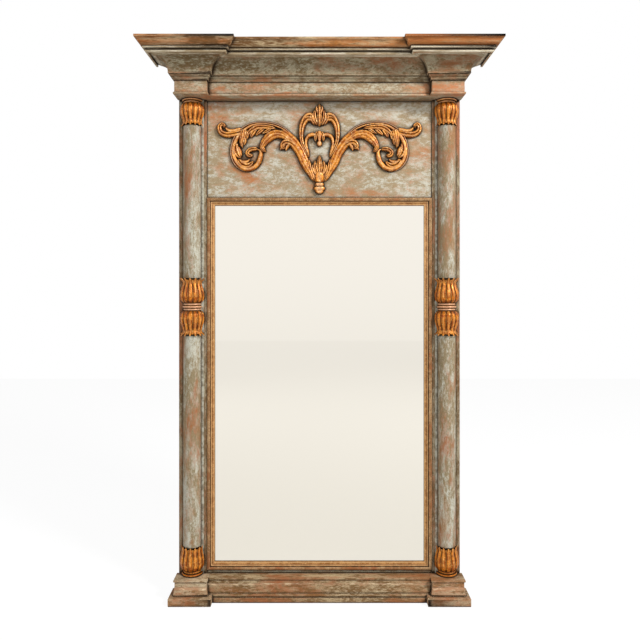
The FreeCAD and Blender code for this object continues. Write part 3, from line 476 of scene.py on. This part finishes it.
# Where given, the number after the rub is the reach of the coat's painted shade; the columns' wide reach paints
# shade down their sides.
MATERIALS = {
    "stile": painted("stile_paint", ALONG_Z, rgb(164, 154, 128), rgb(112, 88, 58), rgb(126, 84, 48),
                     rgb(158, 98, 62), 0.55, 0.010, inner_edge=True),
    "column_shaft": painted("column_paint", ALONG_Z, rgb(192, 190, 174), rgb(142, 126, 96), rgb(150, 104, 58),
                            rgb(154, 92, 50), 0.50, 0.030),
    "frieze": painted("frieze_paint", SMEARED_X, rgb(198, 194, 178), rgb(160, 141, 110), rgb(172, 128, 86),
                      rgb(174, 112, 66), 0.49),
    "fascia": painted("fascia_paint", SMEARED_X, rgb(186, 178, 154), rgb(146, 122, 90), rgb(162, 114, 70),
                      rgb(180, 112, 68), 0.55),
    "bed_mould": painted("bed_paint", ALONG_X, rgb(162, 150, 122), rgb(110, 88, 60), rgb(122, 80, 46),
                         rgb(146, 90, 52), 0.55),
    "cove_mould": painted("cove_paint", SMEARED_X, rgb(162, 154, 128), rgb(106, 86, 56), rgb(116, 76, 40),
                          rgb(134, 82, 46), 0.50),
    "crown_mould": painted("crown_paint", BRUSHED_X, rgb(196, 172, 132), rgb(108, 72, 36), rgb(190, 116, 44),
                           rgb(162, 92, 40), 0.66, band=(1482.0, 1497.0, rgb(214, 204, 180), rgb(160, 140, 108))),
    "base": painted("base_paint", ALONG_X, rgb(182, 160, 124), rgb(114, 84, 50), rgb(142, 94, 52),
                    rgb(154, 92, 54), 0.52, 0.009),
    "plinth": painted("plinth_paint", ALONG_X, rgb(194, 174, 142), rgb(126, 96, 62), rgb(154, 104, 60),
                      rgb(162, 98, 58), 0.50, 0.009),
    "bottom_rail": painted("rail_paint", ALONG_X, rgb(192, 186, 162), rgb(140, 120, 88), rgb(150, 106, 64), BOLE,
                           0.35, 0.005),
    "sight_moulding": painted("sight_paint", EVEN, rgb(194, 158, 114), rgb(144, 104, 64), rgb(154, 96, 50),
                              rgb(160, 96, 56), 0.50, 0.006, lines=((12.6, 1.2), (17.5, 0.6), (22.5, 1.3))),
    "gilt_slip": gilded("slip_gilding", rgb(186, 134, 80), rgb(150, 98, 50), rgb(128, 78, 44), rgb(66, 40, 18),
                        rgb(208, 168, 116), 0.52, ((0.3, 0.9), (7.6, 0.7), (11.9, 1.0)), ((2.6, 1.2), (9.6, 0.8))),
    "carving": carved_gilt("carving_gilding", rgb(220, 138, 42), rgb(162, 82, 16), rgb(140, 66, 26),
                           rgb(62, 28, 4), rgb(252, 216, 158), 0.48),
    "lotus": carved_gilt("lotus_gilding", rgb(210, 124, 32), rgb(156, 74, 12), rgb(128, 54, 18),
                         rgb(50, 22, 2), rgb(246, 186, 104), 0.52),
    "board": pine("pine_along_x", ALONG_X),
    "upright": pine("pine_along_z", ALONG_Z),
    "mirror_plate": plate_mirror(),
    "steel": plated_steel(),
}

# The first prefix that a node's name starts with gives its material.
PREFIXES = (
    ("stile", "stile"), ("column_shaft", "column_shaft"), ("frieze", "frieze"), ("entablature", "fascia"),
    ("bed_mould", "bed_mould"), ("cove_mould", "cove_mould"), ("crown_mould", "crown_mould"),
    ("bottom_rail", "bottom_rail"), ("base_", "base"), ("foot_mould_center", "base"), ("foot_mould", "plinth"),
    ("plinth", "plinth"), ("sight_moulding", "sight_moulding"), ("gilt_slip", "gilt_slip"), ("capital", "lotus"),
    ("column_base", "lotus"), ("column_collar", "lotus"), ("ornament", "carving"), ("mirror_plate", "mirror_plate"),
    ("hanger", "steel"), ("back_board_screws", "steel"), ("back_board", "upright"), ("glass_glue", "upright"),
    ("header", "board"), ("mid_rail", "board"), ("dust_board", "board"))


# ---- finish of the frame's own pieces -----------------------------------------------------------------------
SMOOTH_ANGLE = math.radians(38.0)
FLAT_ANGLE = math.radians(0.4)
WELD_REACH = 0.02
BROAD_ARRIS = 0.8
FINE_ARRIS = 0.5


def smoothing_nodes():
    """Shades faces smooth, with hard edges where they meet at more than the smooth angle."""
    group = bpy.data.node_groups.new("smooth_faces", "GeometryNodeTree")
    group.interface.new_socket("Geometry", in_out="INPUT", socket_type="NodeSocketGeometry")
    group.interface.new_socket("Geometry", in_out="OUTPUT", socket_type="NodeSocketGeometry")
    start = group.nodes.new("NodeGroupInput")
    end = group.nodes.new("NodeGroupOutput")
    faces = group.nodes.new("GeometryNodeSetShadeSmooth")
    edges = group.nodes.new("GeometryNodeSetShadeSmooth")
    edges.domain = "EDGE"
    edges.inputs["Shade Smooth"].default_value = False
    angle = group.nodes.new("GeometryNodeInputMeshEdgeAngle")
    sharp = group.nodes.new("FunctionNodeCompare")
    sharp.operation = "GREATER_THAN"
    sharp.inputs[1].default_value = SMOOTH_ANGLE
    group.links.new(start.outputs[0], faces.inputs["Geometry"])
    group.links.new(faces.outputs[0], edges.inputs["Geometry"])
    group.links.new(angle.outputs["Unsigned Angle"], sharp.inputs[0])
    group.links.new(sharp.outputs[0], edges.inputs["Selection"])
    group.links.new(edges.outputs[0], end.inputs[0])
    return group


SMOOTHING = smoothing_nodes()


def finish_node(piece, arris):
    """Welded corners, an arris eased by some millimetres and smooth curved faces."""
    weld = piece.modifiers.new("weld", "WELD")
    weld.merge_threshold = WELD_REACH * MM
    flat = piece.modifiers.new("flat_faces", "DECIMATE")
    flat.decimate_type = "DISSOLVE"
    flat.angle_limit = FLAT_ANGLE
    if arris > 0:
        bevel = piece.modifiers.new("arris", "BEVEL")
        bevel.width = arris * MM
        bevel.segments = 2
        bevel.limit_method = "ANGLE"
        bevel.angle_limit = SMOOTH_ANGLE
    smooth = piece.modifiers.new("smooth", "NODES")
    smooth.node_group = SMOOTHING


def arris_of(name):
    """Width of a node's eased edges in millimetres."""
    if name.startswith(("stile", "plinth", "entablature", "base_", "foot_mould", "crown_mould")):
        return BROAD_ARRIS
    if name.startswith(("bed_mould", "cove_mould", "bottom_rail", "dust_board")):
        return FINE_ARRIS
    return 0.0


for node_name, node in NODES.items():
    for prefix, key in PREFIXES:
        if node_name.startswith(prefix):
            node.data.materials.clear()
            node.data.materials.append(MATERIALS[key])
            finish_node(node, arris_of(node_name))
            break


# ---- smooth curves ------------------------------------------------------------------------------------------
def spline(a, b, c, d, f):
    """Value at f from 0 to 1 between b and c, on a smooth curve that passes a before them and d after."""
    return 0.5 * (2.0 * b + (c - a) * f + (2.0 * a - 5.0 * b + 4.0 * c - d) * f * f
                  + (3.0 * b - a - 3.0 * c + d) * f * f * f)


def blend(points, t):
    """Point at t from 0 to 1 on a smooth curve through points of any number of values each."""
    count = len(points) - 1
    place = min(max(t, 0.0), 1.0) * count
    i = min(int(place), count - 1)
    near = (points[max(i - 1, 0)], points[i], points[i + 1], points[min(i + 2, count)])
    return tuple(spline(a, b, c, d, place - i) for a, b, c, d in zip(*near))


def at_station(stations, t):
    """Value at t on a smooth curve through (t, value) stations."""
    for i in range(len(stations) - 1):
        if t <= stations[i + 1][0]:
            break
    start, b = stations[i]
    end, c = stations[i + 1]
    a = stations[max(i - 1, 0)][1]
    d = stations[min(i + 2, len(stations) - 1)][1]
    return spline(a, b, c, d, min(max((t - start) / (end - start), 0.0), 1.0))


CREASE_ANGLE = math.radians(50.0)
SEAM_REACH = 1e-6


def new_piece(name, mesh_maker, material):
    """Gilt piece at the origin whose mesh is filled by mesh_maker(bm, layer of painted highlight and shade values).
    """
    bm = bmesh.new()
    crest = bm.verts.layers.float.new("crest")
    mesh_maker(bm, crest)
    bmesh.ops.recalc_face_normals(bm, faces=bm.faces)
    for face in bm.faces:
        face.smooth = True
    for edge in bm.edges:
        if len(edge.link_faces) == 2 and edge.calc_face_angle(0.0) > CREASE_ANGLE:
            edge.smooth = False
    mesh = bpy.data.meshes.new(name)
    bm.to_mesh(mesh)
    bm.free()
    mesh.materials.append(material)
    piece = bpy.data.objects.new(name, mesh)
    bpy.context.scene.collection.objects.link(piece)
    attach(piece, "root")
    return piece


def close_up(bm, verts):
    """Merges seams and poles, then fills what is left open."""
    bmesh.ops.remove_doubles(bm, verts=verts, dist=SEAM_REACH)
    rim = {e for v in verts if v.is_valid for e in v.link_edges if e.is_boundary}
    bmesh.ops.holes_fill(bm, edges=list(rim), sides=0)


# ---- lotus pieces -------------------------------------------------------------------------------------------
PETALS = 7
COLUMNS_PER_PETAL = 16
BELL_STEPS = 40
RING_COLUMNS = 64
RING_STEPS = 8
GAP_DEPTH = 5.0
TIP_CUT = 0.24
CORE_RADIUS = 26.0
# Both layers of petals as (turn in petals, inset in millimetres, share of the bell's length).
LAYERS = ((0.0, 0.0, 1.0), (0.5, 3.0, 0.93))
# Bells as (share of the length from the ring to the petal tips, radius in millimetres).
FLARED_BELL = ((0.0, 26.0), (0.05, 30.0), (0.13, 33.4), (0.28, 34.6), (0.42, 34.0), (0.56, 31.6), (0.70, 28.6),
               (0.80, 27.2), (0.90, 28.6), (1.0, 33.0))
WAISTED_BELL = ((0.0, 25.5), (0.06, 30.0), (0.16, 33.4), (0.34, 34.6), (0.50, 33.0), (0.64, 29.6), (0.76, 27.4),
                (0.86, 27.2), (1.0, 29.8))
CLOSED_BELL = ((0.0, 25.5), (0.06, 30.0), (0.16, 33.2), (0.32, 34.4), (0.50, 33.8), (0.68, 31.6), (0.84, 29.4),
               (1.0, 29.6))


def half_turned(bm, crest, x, columns, outline):
    """Half-round closed solid on the stile face; outline(angle) gives (radius, height, painted light value) points,
    in mm.
    """
    lines = [outline(math.pi * i / columns) for i in range(columns + 1)]
    rows = len(lines[0]) - 1
    verts = bmesh.ops.create_grid(bm, x_segments=columns, y_segments=rows, size=0.5)["verts"]
    for v in verts:
        column = round((v.co.x + 0.5) * columns)
        angle = math.pi * column / columns
        radius, height, value = lines[column][round((v.co.y + 0.5) * rows)]
        v.co = Vector((x + radius * math.cos(angle) * MM, STILE_FACE - radius * math.sin(angle) * MM, up(height)))
        v[crest] = value
    close_up(bm, verts)


def petal_place(angle, shift):
    """Place across a petal, from -1 to 1 at its edges."""
    s = angle / math.pi * PETALS + shift
    return 2.0 * (s - math.floor(s)) - 1.0


def bell_outline(profile, lip, start, end, shift, inset):
    """Outline maker for a bell of petals from its ring at start to its tips at end, turned out by the lip."""
    length = end - start

    def outline(angle):
        k = petal_place(angle, shift)
        round_face = (1.0 - abs(k) ** 2.2) ** 0.6
        tip = 1.0 - TIP_CUT * abs(k) ** 1.6
        points = [(0.0, start, 0.0)]
        for i in range(BELL_STEPS + 1):
            t = i / BELL_STEPS
            share = t * tip
            rise = min(1.0, 0.3 + 4.0 * t)
            flare = lip * max(0.0, (t - 0.84) / 0.16) ** 1.5 * (1.0 - k * k)
            radius = at_station(profile, share) - inset - GAP_DEPTH * (1.0 - round_face) * rise + flare
            # Painted light value: shade in the gaps between petals and near the ring, painted highlight down each
            # petal's middle and on the tips.
            value = (1.0 - k * k) * min(1.0, 0.4 + 2.2 * t)
            value = max(value, min(1.0, max(0.0, t - 0.90) * 12.0) * (1.0 - 0.6 * abs(k)))
            points.append((radius, start + length * share, value))
        radius, height, value = points[-1]
        sign = math.copysign(1.0, length)
        points.append((radius - 0.4, height + 0.5 * sign, value))
        points.append((radius - 1.6, height + 0.2 * sign, 0.2))
        points.append((CORE_RADIUS, height - length * 0.10, 0.0))
        points.append((0.0, height - length * 0.10, 0.0))
        return points

    return outline


def ring_outline(radius, bottom, top, rub_and_highlight):
    """Outline maker for a turned ring with a round edge, painted pale rose with a highlight on its front where its
    rub factor is near 2.
    """
    middle = (bottom + top) / 2.0
    half = (top - bottom) / 2.0
    points = [(0.0, bottom, 0.0)]
    for i in range(RING_STEPS + 1):
        turn = math.pi * (i / RING_STEPS - 0.5)
        points.append((radius - half * (1.0 - math.cos(turn)), middle + half * math.sin(turn),
                       rub_and_highlight * math.cos(turn)))
    points.append((0.0, top, 0.0))
    return lambda angle: points


def lotus_maker(x, profile, lip, bells, rings, core):
    """Mesh filler: bells are (start, end) heights, rings (radius, bottom, top, rub and highlight factor), the core
    is behind.
    """
    def fill(bm, crest):
        for start, end in bells:
            for shift, inset, share in LAYERS:
                outline = bell_outline(profile, lip, start, start + (end - start) * share, shift, inset)
                half_turned(bm, crest, x, PETALS * COLUMNS_PER_PETAL, outline)
        for ring in rings:
            half_turned(bm, crest, x, RING_COLUMNS, ring_outline(*ring))
        radius, bottom, top = core
        solid = [(0.0, bottom, 0.0), (radius, bottom, 0.0), (radius, top, 0.0), (0.0, top, 0.0)]
        half_turned(bm, crest, x, RING_COLUMNS, lambda angle: solid)
    return fill


LOTUS = {
    "capital": (WAISTED_BELL, 1.4, [(1381.0, 1317.0)],
                [(25.0, 1380.5, 1385.5, 1.6), (28.5, 1386.5, 1392.0, 1.6)], (23.0, 1379.0, 1391.5)),
    "column_base": (CLOSED_BELL, 0.8, [(79.0, 146.0)],
                    [(29.5, 66.5, 72.5, 0.95), (25.5, 73.5, 79.0, 0.95)], (23.5, 67.0, 80.0)),
    "column_collar": (FLARED_BELL, 3.0, [(802.0, 733.0), (824.0, 893.0)],
                      [(24.8, 803.0, 808.5, 2.0), (27.6, 810.2, 815.8, 2.0), (24.8, 817.5, 823.0, 2.0)],
                      (22.0, 801.0, 825.0)),
}

for side, x in (("left", -COLUMN_X), ("right", COLUMN_X)):
    for part_name, shape in LOTUS.items():
        piece = new_piece("lotus_" + part_name + "_" + side, lotus_maker(x, *shape), MATERIALS["lotus"])
        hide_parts(part_name + "_" + side)


# ---- carved ornament ----------------------------------------------------------------------------------------
# Centre lines of the right half, as (distance from the centre line, height above the plinth underside, width).
ARM = ((13, 1165, 14), (22, 1183, 19), (39, 1214, 27), (51, 1242, 28), (63, 1262, 30), (79, 1281, 30),
       (97, 1297, 24), (111, 1306, 12))
RIM = ((44, 1230, 6), (56, 1258, 7), (75, 1286, 7), (99, 1308, 6), (125, 1320, 6), (150, 1325, 6), (168, 1325, 7),
       (191, 1320, 9), (209, 1309, 11), (225, 1294, 13), (236, 1274, 14), (241, 1252, 14), (238, 1230, 14),
       (226, 1211, 14), (207, 1199, 14), (187, 1202, 15), (173, 1214, 15), (166, 1230, 15), (164, 1243, 12),
       (168, 1252, 9), (178, 1255, 6))
RIM_FILLET = ((58, 1270, 2), (75, 1293, 3), (99, 1314, 3), (125, 1326, 3), (150, 1330, 3), (168, 1330, 3),
              (190, 1327, 3), (210, 1318, 3), (229, 1302, 3), (242, 1280, 3), (248, 1253, 3), (245, 1227, 3),
              (231, 1205, 3), (209, 1192, 2))
UPPER_LEAF = ((122, 1312, 8), (139, 1315, 13), (157, 1317, 16), (174, 1316, 17), (188, 1309, 17), (198, 1300, 12),
              (206, 1290, 4))
UPPER_LOBES = (((176, 1311, 8), (185, 1302, 14), (190, 1294, 11), (192, 1287, 3)),
               ((156, 1312, 8), (166, 1305, 13), (173, 1299, 9), (178, 1293, 3)),
               ((136, 1312, 8), (147, 1305, 12), (155, 1301, 7), (160, 1297, 3)))
INNER_LEAF = ((76, 1270, 16), (97, 1291, 22), (118, 1297, 26), (135, 1293, 28), (149, 1281, 25), (157, 1270, 19),
              (161, 1260, 14), (157, 1252, 14), (150, 1248, 7))
SMALL_CURL = ((68, 1262, 12), (83, 1272, 17), (95, 1274, 18), (104, 1267, 14), (103, 1259, 11), (95, 1257, 6))
SMALL_LOBES = (((84, 1268, 8), (90, 1262, 12), (93, 1256, 8), (93, 1250, 3)),
               ((95, 1270, 8), (101, 1263, 12), (107, 1257, 8), (110, 1252, 3)))
FALLING_LEAF = ((211, 1312, 12), (213, 1299, 20), (216, 1284, 19), (218, 1270, 12), (216, 1257, 3))
FALLING_LOBES = (((207, 1306, 9), (203, 1297, 13), (203, 1288, 9), (207, 1281, 3)),
                 ((214, 1290, 9), (210, 1281, 12), (209, 1273, 8), (212, 1266, 3)))
TAIL = ((209, 1306, 16), (227, 1301, 21), (244, 1297, 20), (262, 1296, 18), (276, 1303, 16), (280, 1316, 14),
        (274, 1324, 13), (267, 1320, 10), (269, 1313, 8))
TAIL_LEAF = ((218, 1312, 10), (234, 1307, 12), (248, 1305, 12), (258, 1309, 9), (262, 1315, 4))
RING_LEAF = ((232, 1272, 12), (235, 1255, 20), (230, 1240, 19), (220, 1229, 4))
RING_LOBE = ((229, 1262, 8), (224, 1251, 12), (221, 1242, 9), (218, 1235, 3))
LOWER_LEAF = ((228, 1227, 12), (218, 1213, 20), (204, 1208, 19), (192, 1213, 13), (185, 1222, 3))
LOWER_LOBE = ((218, 1220, 8), (208, 1218, 12), (200, 1221, 9), (195, 1227, 3))
END_CURL = ((172, 1254, 10), (186, 1255, 13), (197, 1251, 14), (202, 1243, 13), (196, 1236, 12), (187, 1239, 8))
OUTER_C = ((29, 1232, 9), (40, 1253, 11), (48, 1272, 12), (51, 1292, 13), (50, 1311, 16), (46, 1327, 19),
           (37, 1339, 19), (25, 1340, 17), (14, 1335, 11))
OUTER_CURL = ((49, 1328, 7), (46, 1337, 9), (38, 1348, 10), (27, 1352, 11), (18, 1347, 9))
SHELL_LOBE = ((13, 1324, 9), (20, 1336, 12), (22, 1347, 11), (20, 1356, 4))
CREST_LOBE = ((6, 1322, 8), (12, 1336, 13), (14, 1350, 12), (12, 1363, 4))
CREST_EAR = ((3, 1352, 8), (7, 1362, 9), (8, 1370, 6), (7, 1375, 2))
CREST = ((0, 1318, 8), (0, 1332, 14), (0, 1348, 16), (0, 1362, 14), (0, 1373, 10), (0, 1382, 3))
INNER_C = ((29, 1236, 8), (35, 1254, 9), (38, 1270, 9), (36, 1284, 10), (28, 1293, 12), (18, 1295, 13),
           (9, 1291, 9))
PENDANT = ((0, 1306, 9), (0, 1298, 14), (0, 1286, 15), (0, 1276, 9), (0, 1270, 4))
PENDANT_LOBE = ((4, 1303, 9), (9, 1294, 12), (11, 1284, 9), (10, 1276, 3))
PENDANT_DROP = ((0, 1275, 12), (0, 1269, 15), (0, 1263, 9))
PALMETTE = ((0, 1184, 12), (0, 1198, 17), (0, 1212, 17), (0, 1225, 12), (0, 1238, 3))
PALMETTE_LOBE = ((5, 1184, 10), (10, 1198, 13), (12, 1211, 11), (11, 1222, 3))
PALMETTE_EAR = ((9, 1182, 9), (16, 1193, 11), (19, 1203, 8), (18, 1211, 3))
HUSK = ((14, 1166, 9), (21, 1182, 14), (26, 1198, 14), (29, 1214, 11), (31, 1228, 3))
CUP = ((0, 1160, 20), (0, 1168, 31), (0, 1178, 35), (0, 1186, 28), (0, 1191, 14))
NECK = ((0, 1151, 24), (0, 1155, 27), (0, 1160, 24))
KNOB = ((0, 1139, 27), (0, 1144, 35), (0, 1149, 29))
DROP = ((0, 1130, 12), (0, 1135, 24), (0, 1140, 26))
# Strokes in carving order, as (centre lines, relief in millimetres, ribs, taper, rub and highlight factor of the
# painted light).
SCROLL = (
    ((ARM,), 11.5, 3, 0.0, 1.0), ((RIM,), 10.0, 1, 0.0, 1.0), ((RIM_FILLET,), 7.5, 1, 0.0, 1.9),
    ((UPPER_LEAF,), 10.5, 2, 0.0, 1.0), (UPPER_LOBES, 9.5, 2, 0.3, 1.0), ((INNER_LEAF,), 13.0, 3, 0.1, 1.0),
    ((SMALL_CURL,), 13.5, 2, 0.0, 1.0), (SMALL_LOBES, 11.0, 1, 0.3, 1.0), ((FALLING_LEAF,), 14.0, 3, 0.3, 1.0),
    (FALLING_LOBES, 12.0, 2, 0.3, 1.0), ((TAIL,), 11.0, 2, 0.0, 1.0), ((TAIL_LEAF,), 12.5, 1, 0.0, 1.0),
    ((RING_LEAF,), 12.5, 2, 0.2, 1.0), ((RING_LOBE,), 11.5, 1, 0.3, 1.0), ((LOWER_LEAF,), 12.5, 2, 0.2, 1.0),
    ((LOWER_LOBE,), 11.5, 1, 0.3, 1.0), ((END_CURL,), 12.5, 2, 0.0, 1.0))
CARTOUCHE_HALF = (
    ((OUTER_C,), 11.0, 2, 0.0, 1.0), ((OUTER_CURL,), 13.5, 1, 0.0, 1.0), ((SHELL_LOBE,), 12.0, 2, 0.0, 1.0),
    ((CREST_LOBE,), 13.2, 2, 0.0, 1.0), ((CREST_EAR,), 12.5, 1, 0.0, 1.0), ((INNER_C,), 10.5, 1, 0.0, 1.0),
    ((PENDANT_LOBE,), 12.0, 2, 0.0, 1.0), ((HUSK,), 12.5, 2, 0.0, 1.0), ((PALMETTE_EAR,), 12.5, 1, 0.0, 1.0),
    ((PALMETTE_LOBE,), 13.5, 2, 0.0, 1.0))
CARTOUCHE_MIDDLE = (
    ((CREST,), 14.8, 3, 0.0, 1.0), ((PENDANT,), 13.5, 1, 0.0, 1.0), ((PENDANT_DROP,), 14.0, 1, 0.0, 1.5),
    ((PALMETTE,), 14.8, 3, 0.0, 1.0), ((CUP,), 13.0, 1, 0.0, 1.0), ((NECK,), 11.0, 1, 0.0, 1.5),
    ((KNOB,), 13.5, 1, 0.0, 1.5), ((DROP,), 11.0, 1, 0.0, 1.3))
ACROSS = 16
STEPS_PER_SPAN = 14
SINK = 0.2


def stroke_place(points, u, turn, relief, ribs, taper):
    """(x, height, lift, painted light value) of a carved stem: u runs along it, turn goes over its face, then back
    below.
    """
    x, height, width = blend(points, u)
    ahead = blend(points, min(u + 0.01, 1.0))
    behind = blend(points, max(u - 0.01, 0.0))
    length = math.hypot(ahead[0] - behind[0], ahead[1] - behind[1])
    across = (-(ahead[1] - behind[1]) / length, (ahead[0] - behind[0]) / length)
    end = min(1.0, 9.0 * u + 0.02, 9.0 * (1.0 - u) + 0.02) ** 0.5
    half = width / 2.0 * end
    if turn > 1.0:
        s = 3.0 - 2.0 * turn
        return x + across[0] * half * s, height + across[1] * half * s, -SINK, 0.0
    s = 2.0 * turn - 1.0
    dome = (1.0 - abs(s) ** 3.4) ** 0.5
    ridge = (ribs * turn) % 1.0
    ridge = 4.0 * ridge * (1.0 - ridge)
    lift = relief * (1.0 - taper * u) * dome * (0.70 + 0.30 * ridge ** 0.4) * end
    # The painted light value: shade at the undercut edges and between the ribs, highlight along the ridges.
    return x + across[0] * half * s, height + across[1] * half * s, lift - SINK, (1.0 - abs(s) ** 8) * ridge ** 0.6


def stroke(bm, crest, points, side, relief, ribs, taper, rub_and_highlight):
    """Carved stem or leaf along a curve, closed just below the panel face."""
    steps = STEPS_PER_SPAN * (len(points) - 1)
    verts = bmesh.ops.create_grid(bm, x_segments=steps, y_segments=2 * ACROSS, size=0.5)["verts"]
    for v in verts:
        x, height, lift, value = stroke_place(points, v.co.x + 0.5, 2.0 * (v.co.y + 0.5), relief, ribs, taper)
        v.co = Vector((side * x * MM, PANEL_FACE - lift * MM, up(height)))
        # Scaled by the stroke's rub factor: above 1.1 it paints rose-pale rubbed gilding with a highlight.
        v[crest] = value * rub_and_highlight
    close_up(bm, verts)


def carve(bm, crest, strokes, side):
    """All strokes of a list on one side, 1 or -1."""
    for lines, relief, ribs, taper, rub_and_highlight in strokes:
        for points in lines:
            stroke(bm, crest, points, side, relief, ribs, taper, rub_and_highlight)


def fill_cartouche(bm, crest):
    """Mesh filler for the cartouche, both halves and the pieces on its middle line."""
    for side in (-1, 1):
        carve(bm, crest, CARTOUCHE_HALF, side)
    carve(bm, crest, CARTOUCHE_MIDDLE, 1)


def scroll_maker(side):
    """Mesh filler for the scroll on one side."""
    return lambda bm, crest: carve(bm, crest, SCROLL, side)


cartouche = new_piece("carved_cartouche", fill_cartouche, MATERIALS["carving"])
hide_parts("ornament_cartouche")
for side, sign in (("left", -1), ("right", 1)):
    scroll = new_piece("carved_scroll_" + side, scroll_maker(sign), MATERIALS["carving"])
    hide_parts("ornament_scroll_" + side)


# ---- stage --------------------------------------------------------------------------------------------------
WHITE = (1.0, 1.0, 1.0, 1.0)
FLOOR_HALF = 6.0
FLOOR_PLACE = (0.0, -2.0, UNDERSIDE - 0.0005)
FLOOR_GREY = (0.8, 0.8, 0.8, 1.0)
FLOOR_GLOW = 1.12
FLOOR_SHARE = 0.82
FILL = 0.30


def seen_directly(t):
    """1 for what the camera sees, by itself, in metal or through glass."""
    path = t.node("LightPath").outputs
    seen = t.math("MAXIMUM", path["Is Camera Ray"], path["Is Glossy Ray"])
    return t.math("MAXIMUM", seen, path["Is Transmission Ray"])


def white_floor():
    """White ground that only darkens where the object shades it."""
    bm = bmesh.new()
    bmesh.ops.create_grid(bm, x_segments=1, y_segments=1, size=FLOOR_HALF)
    bmesh.ops.translate(bm, verts=bm.verts, vec=FLOOR_PLACE)
    mesh = bpy.data.meshes.new("white_floor")
    bm.to_mesh(mesh)
    bm.free()
    floor = bpy.data.objects.new("white_floor", mesh)
    bpy.context.scene.collection.objects.link(floor)
    material = bpy.data.materials.new("white_ground")
    material.use_nodes = True
    t = Tree(material.node_tree)
    t.nodes.clear()
    matt = t.node("BsdfDiffuse", {"Color": FLOOR_GREY}).outputs[0]
    glow = t.node("Emission", {"Color": WHITE, "Strength": FLOOR_GLOW}).outputs[0]
    share = t.math("MULTIPLY", seen_directly(t), FLOOR_SHARE)
    mixed = t.node("MixShader", {0: share, 1: matt, 2: glow}).outputs[0]
    t.feed(mixed, t.node("OutputMaterial").inputs["Surface"])
    mesh.materials.append(material)


def white_world():
    """White to the eye, to metal and to glass; a moderate fill on everything else."""
    world = bpy.data.worlds.new("white_room")
    world.use_nodes = True
    t = Tree(world.node_tree)
    t.nodes.clear()
    strength = t.math("ADD", FILL, t.math("MULTIPLY", seen_directly(t), 1.0 - FILL))
    glow = t.node("Background", {"Color": WHITE, "Strength": strength}).outputs[0]
    t.feed(glow, t.node("OutputWorld").inputs["Surface"])
    bpy.context.scene.world = world


def area_light(name, place, target, size, power):
    """Round lamp at a place, turned to its target."""
    lamp = bpy.data.lights.new(name, "AREA")
    lamp.shape = "DISK"
    lamp.size = size
    lamp.energy = power
    holder = bpy.data.objects.new(name, lamp)
    holder.location = place
    holder.rotation_euler = (Vector(target) - Vector(place)).to_track_quat("-Z", "Y").to_euler()
    bpy.context.scene.collection.objects.link(holder)


def front_camera():
    """Level camera opposite the glass, with its view shifted to take in the whole frame."""
    lens = bpy.data.cameras.new("camera")
    lens.sensor_width = 36.0
    lens.lens = 34.3
    lens.shift_x = 0.0009
    lens.shift_y = -0.0531
    lens.clip_start = 0.05
    holder = bpy.data.objects.new("camera", lens)
    holder.location = (0.0, -1.735, -0.585)
    holder.rotation_euler = (math.pi / 2.0, 0.0, 0.0)
    bpy.context.scene.collection.objects.link(holder)
    bpy.context.scene.camera = holder


white_floor()
white_world()
area_light("key_light", (2.3, -2.1, 1.2), (0.0, 0.0, -0.6), 0.8, 120.0)
area_light("fill_light", (-2.0, -2.8, 0.2), (0.0, 0.0, -0.7), 1.4, 34.0)
front_camera()

bpy.context.scene.view_settings.view_transform = "Standard"
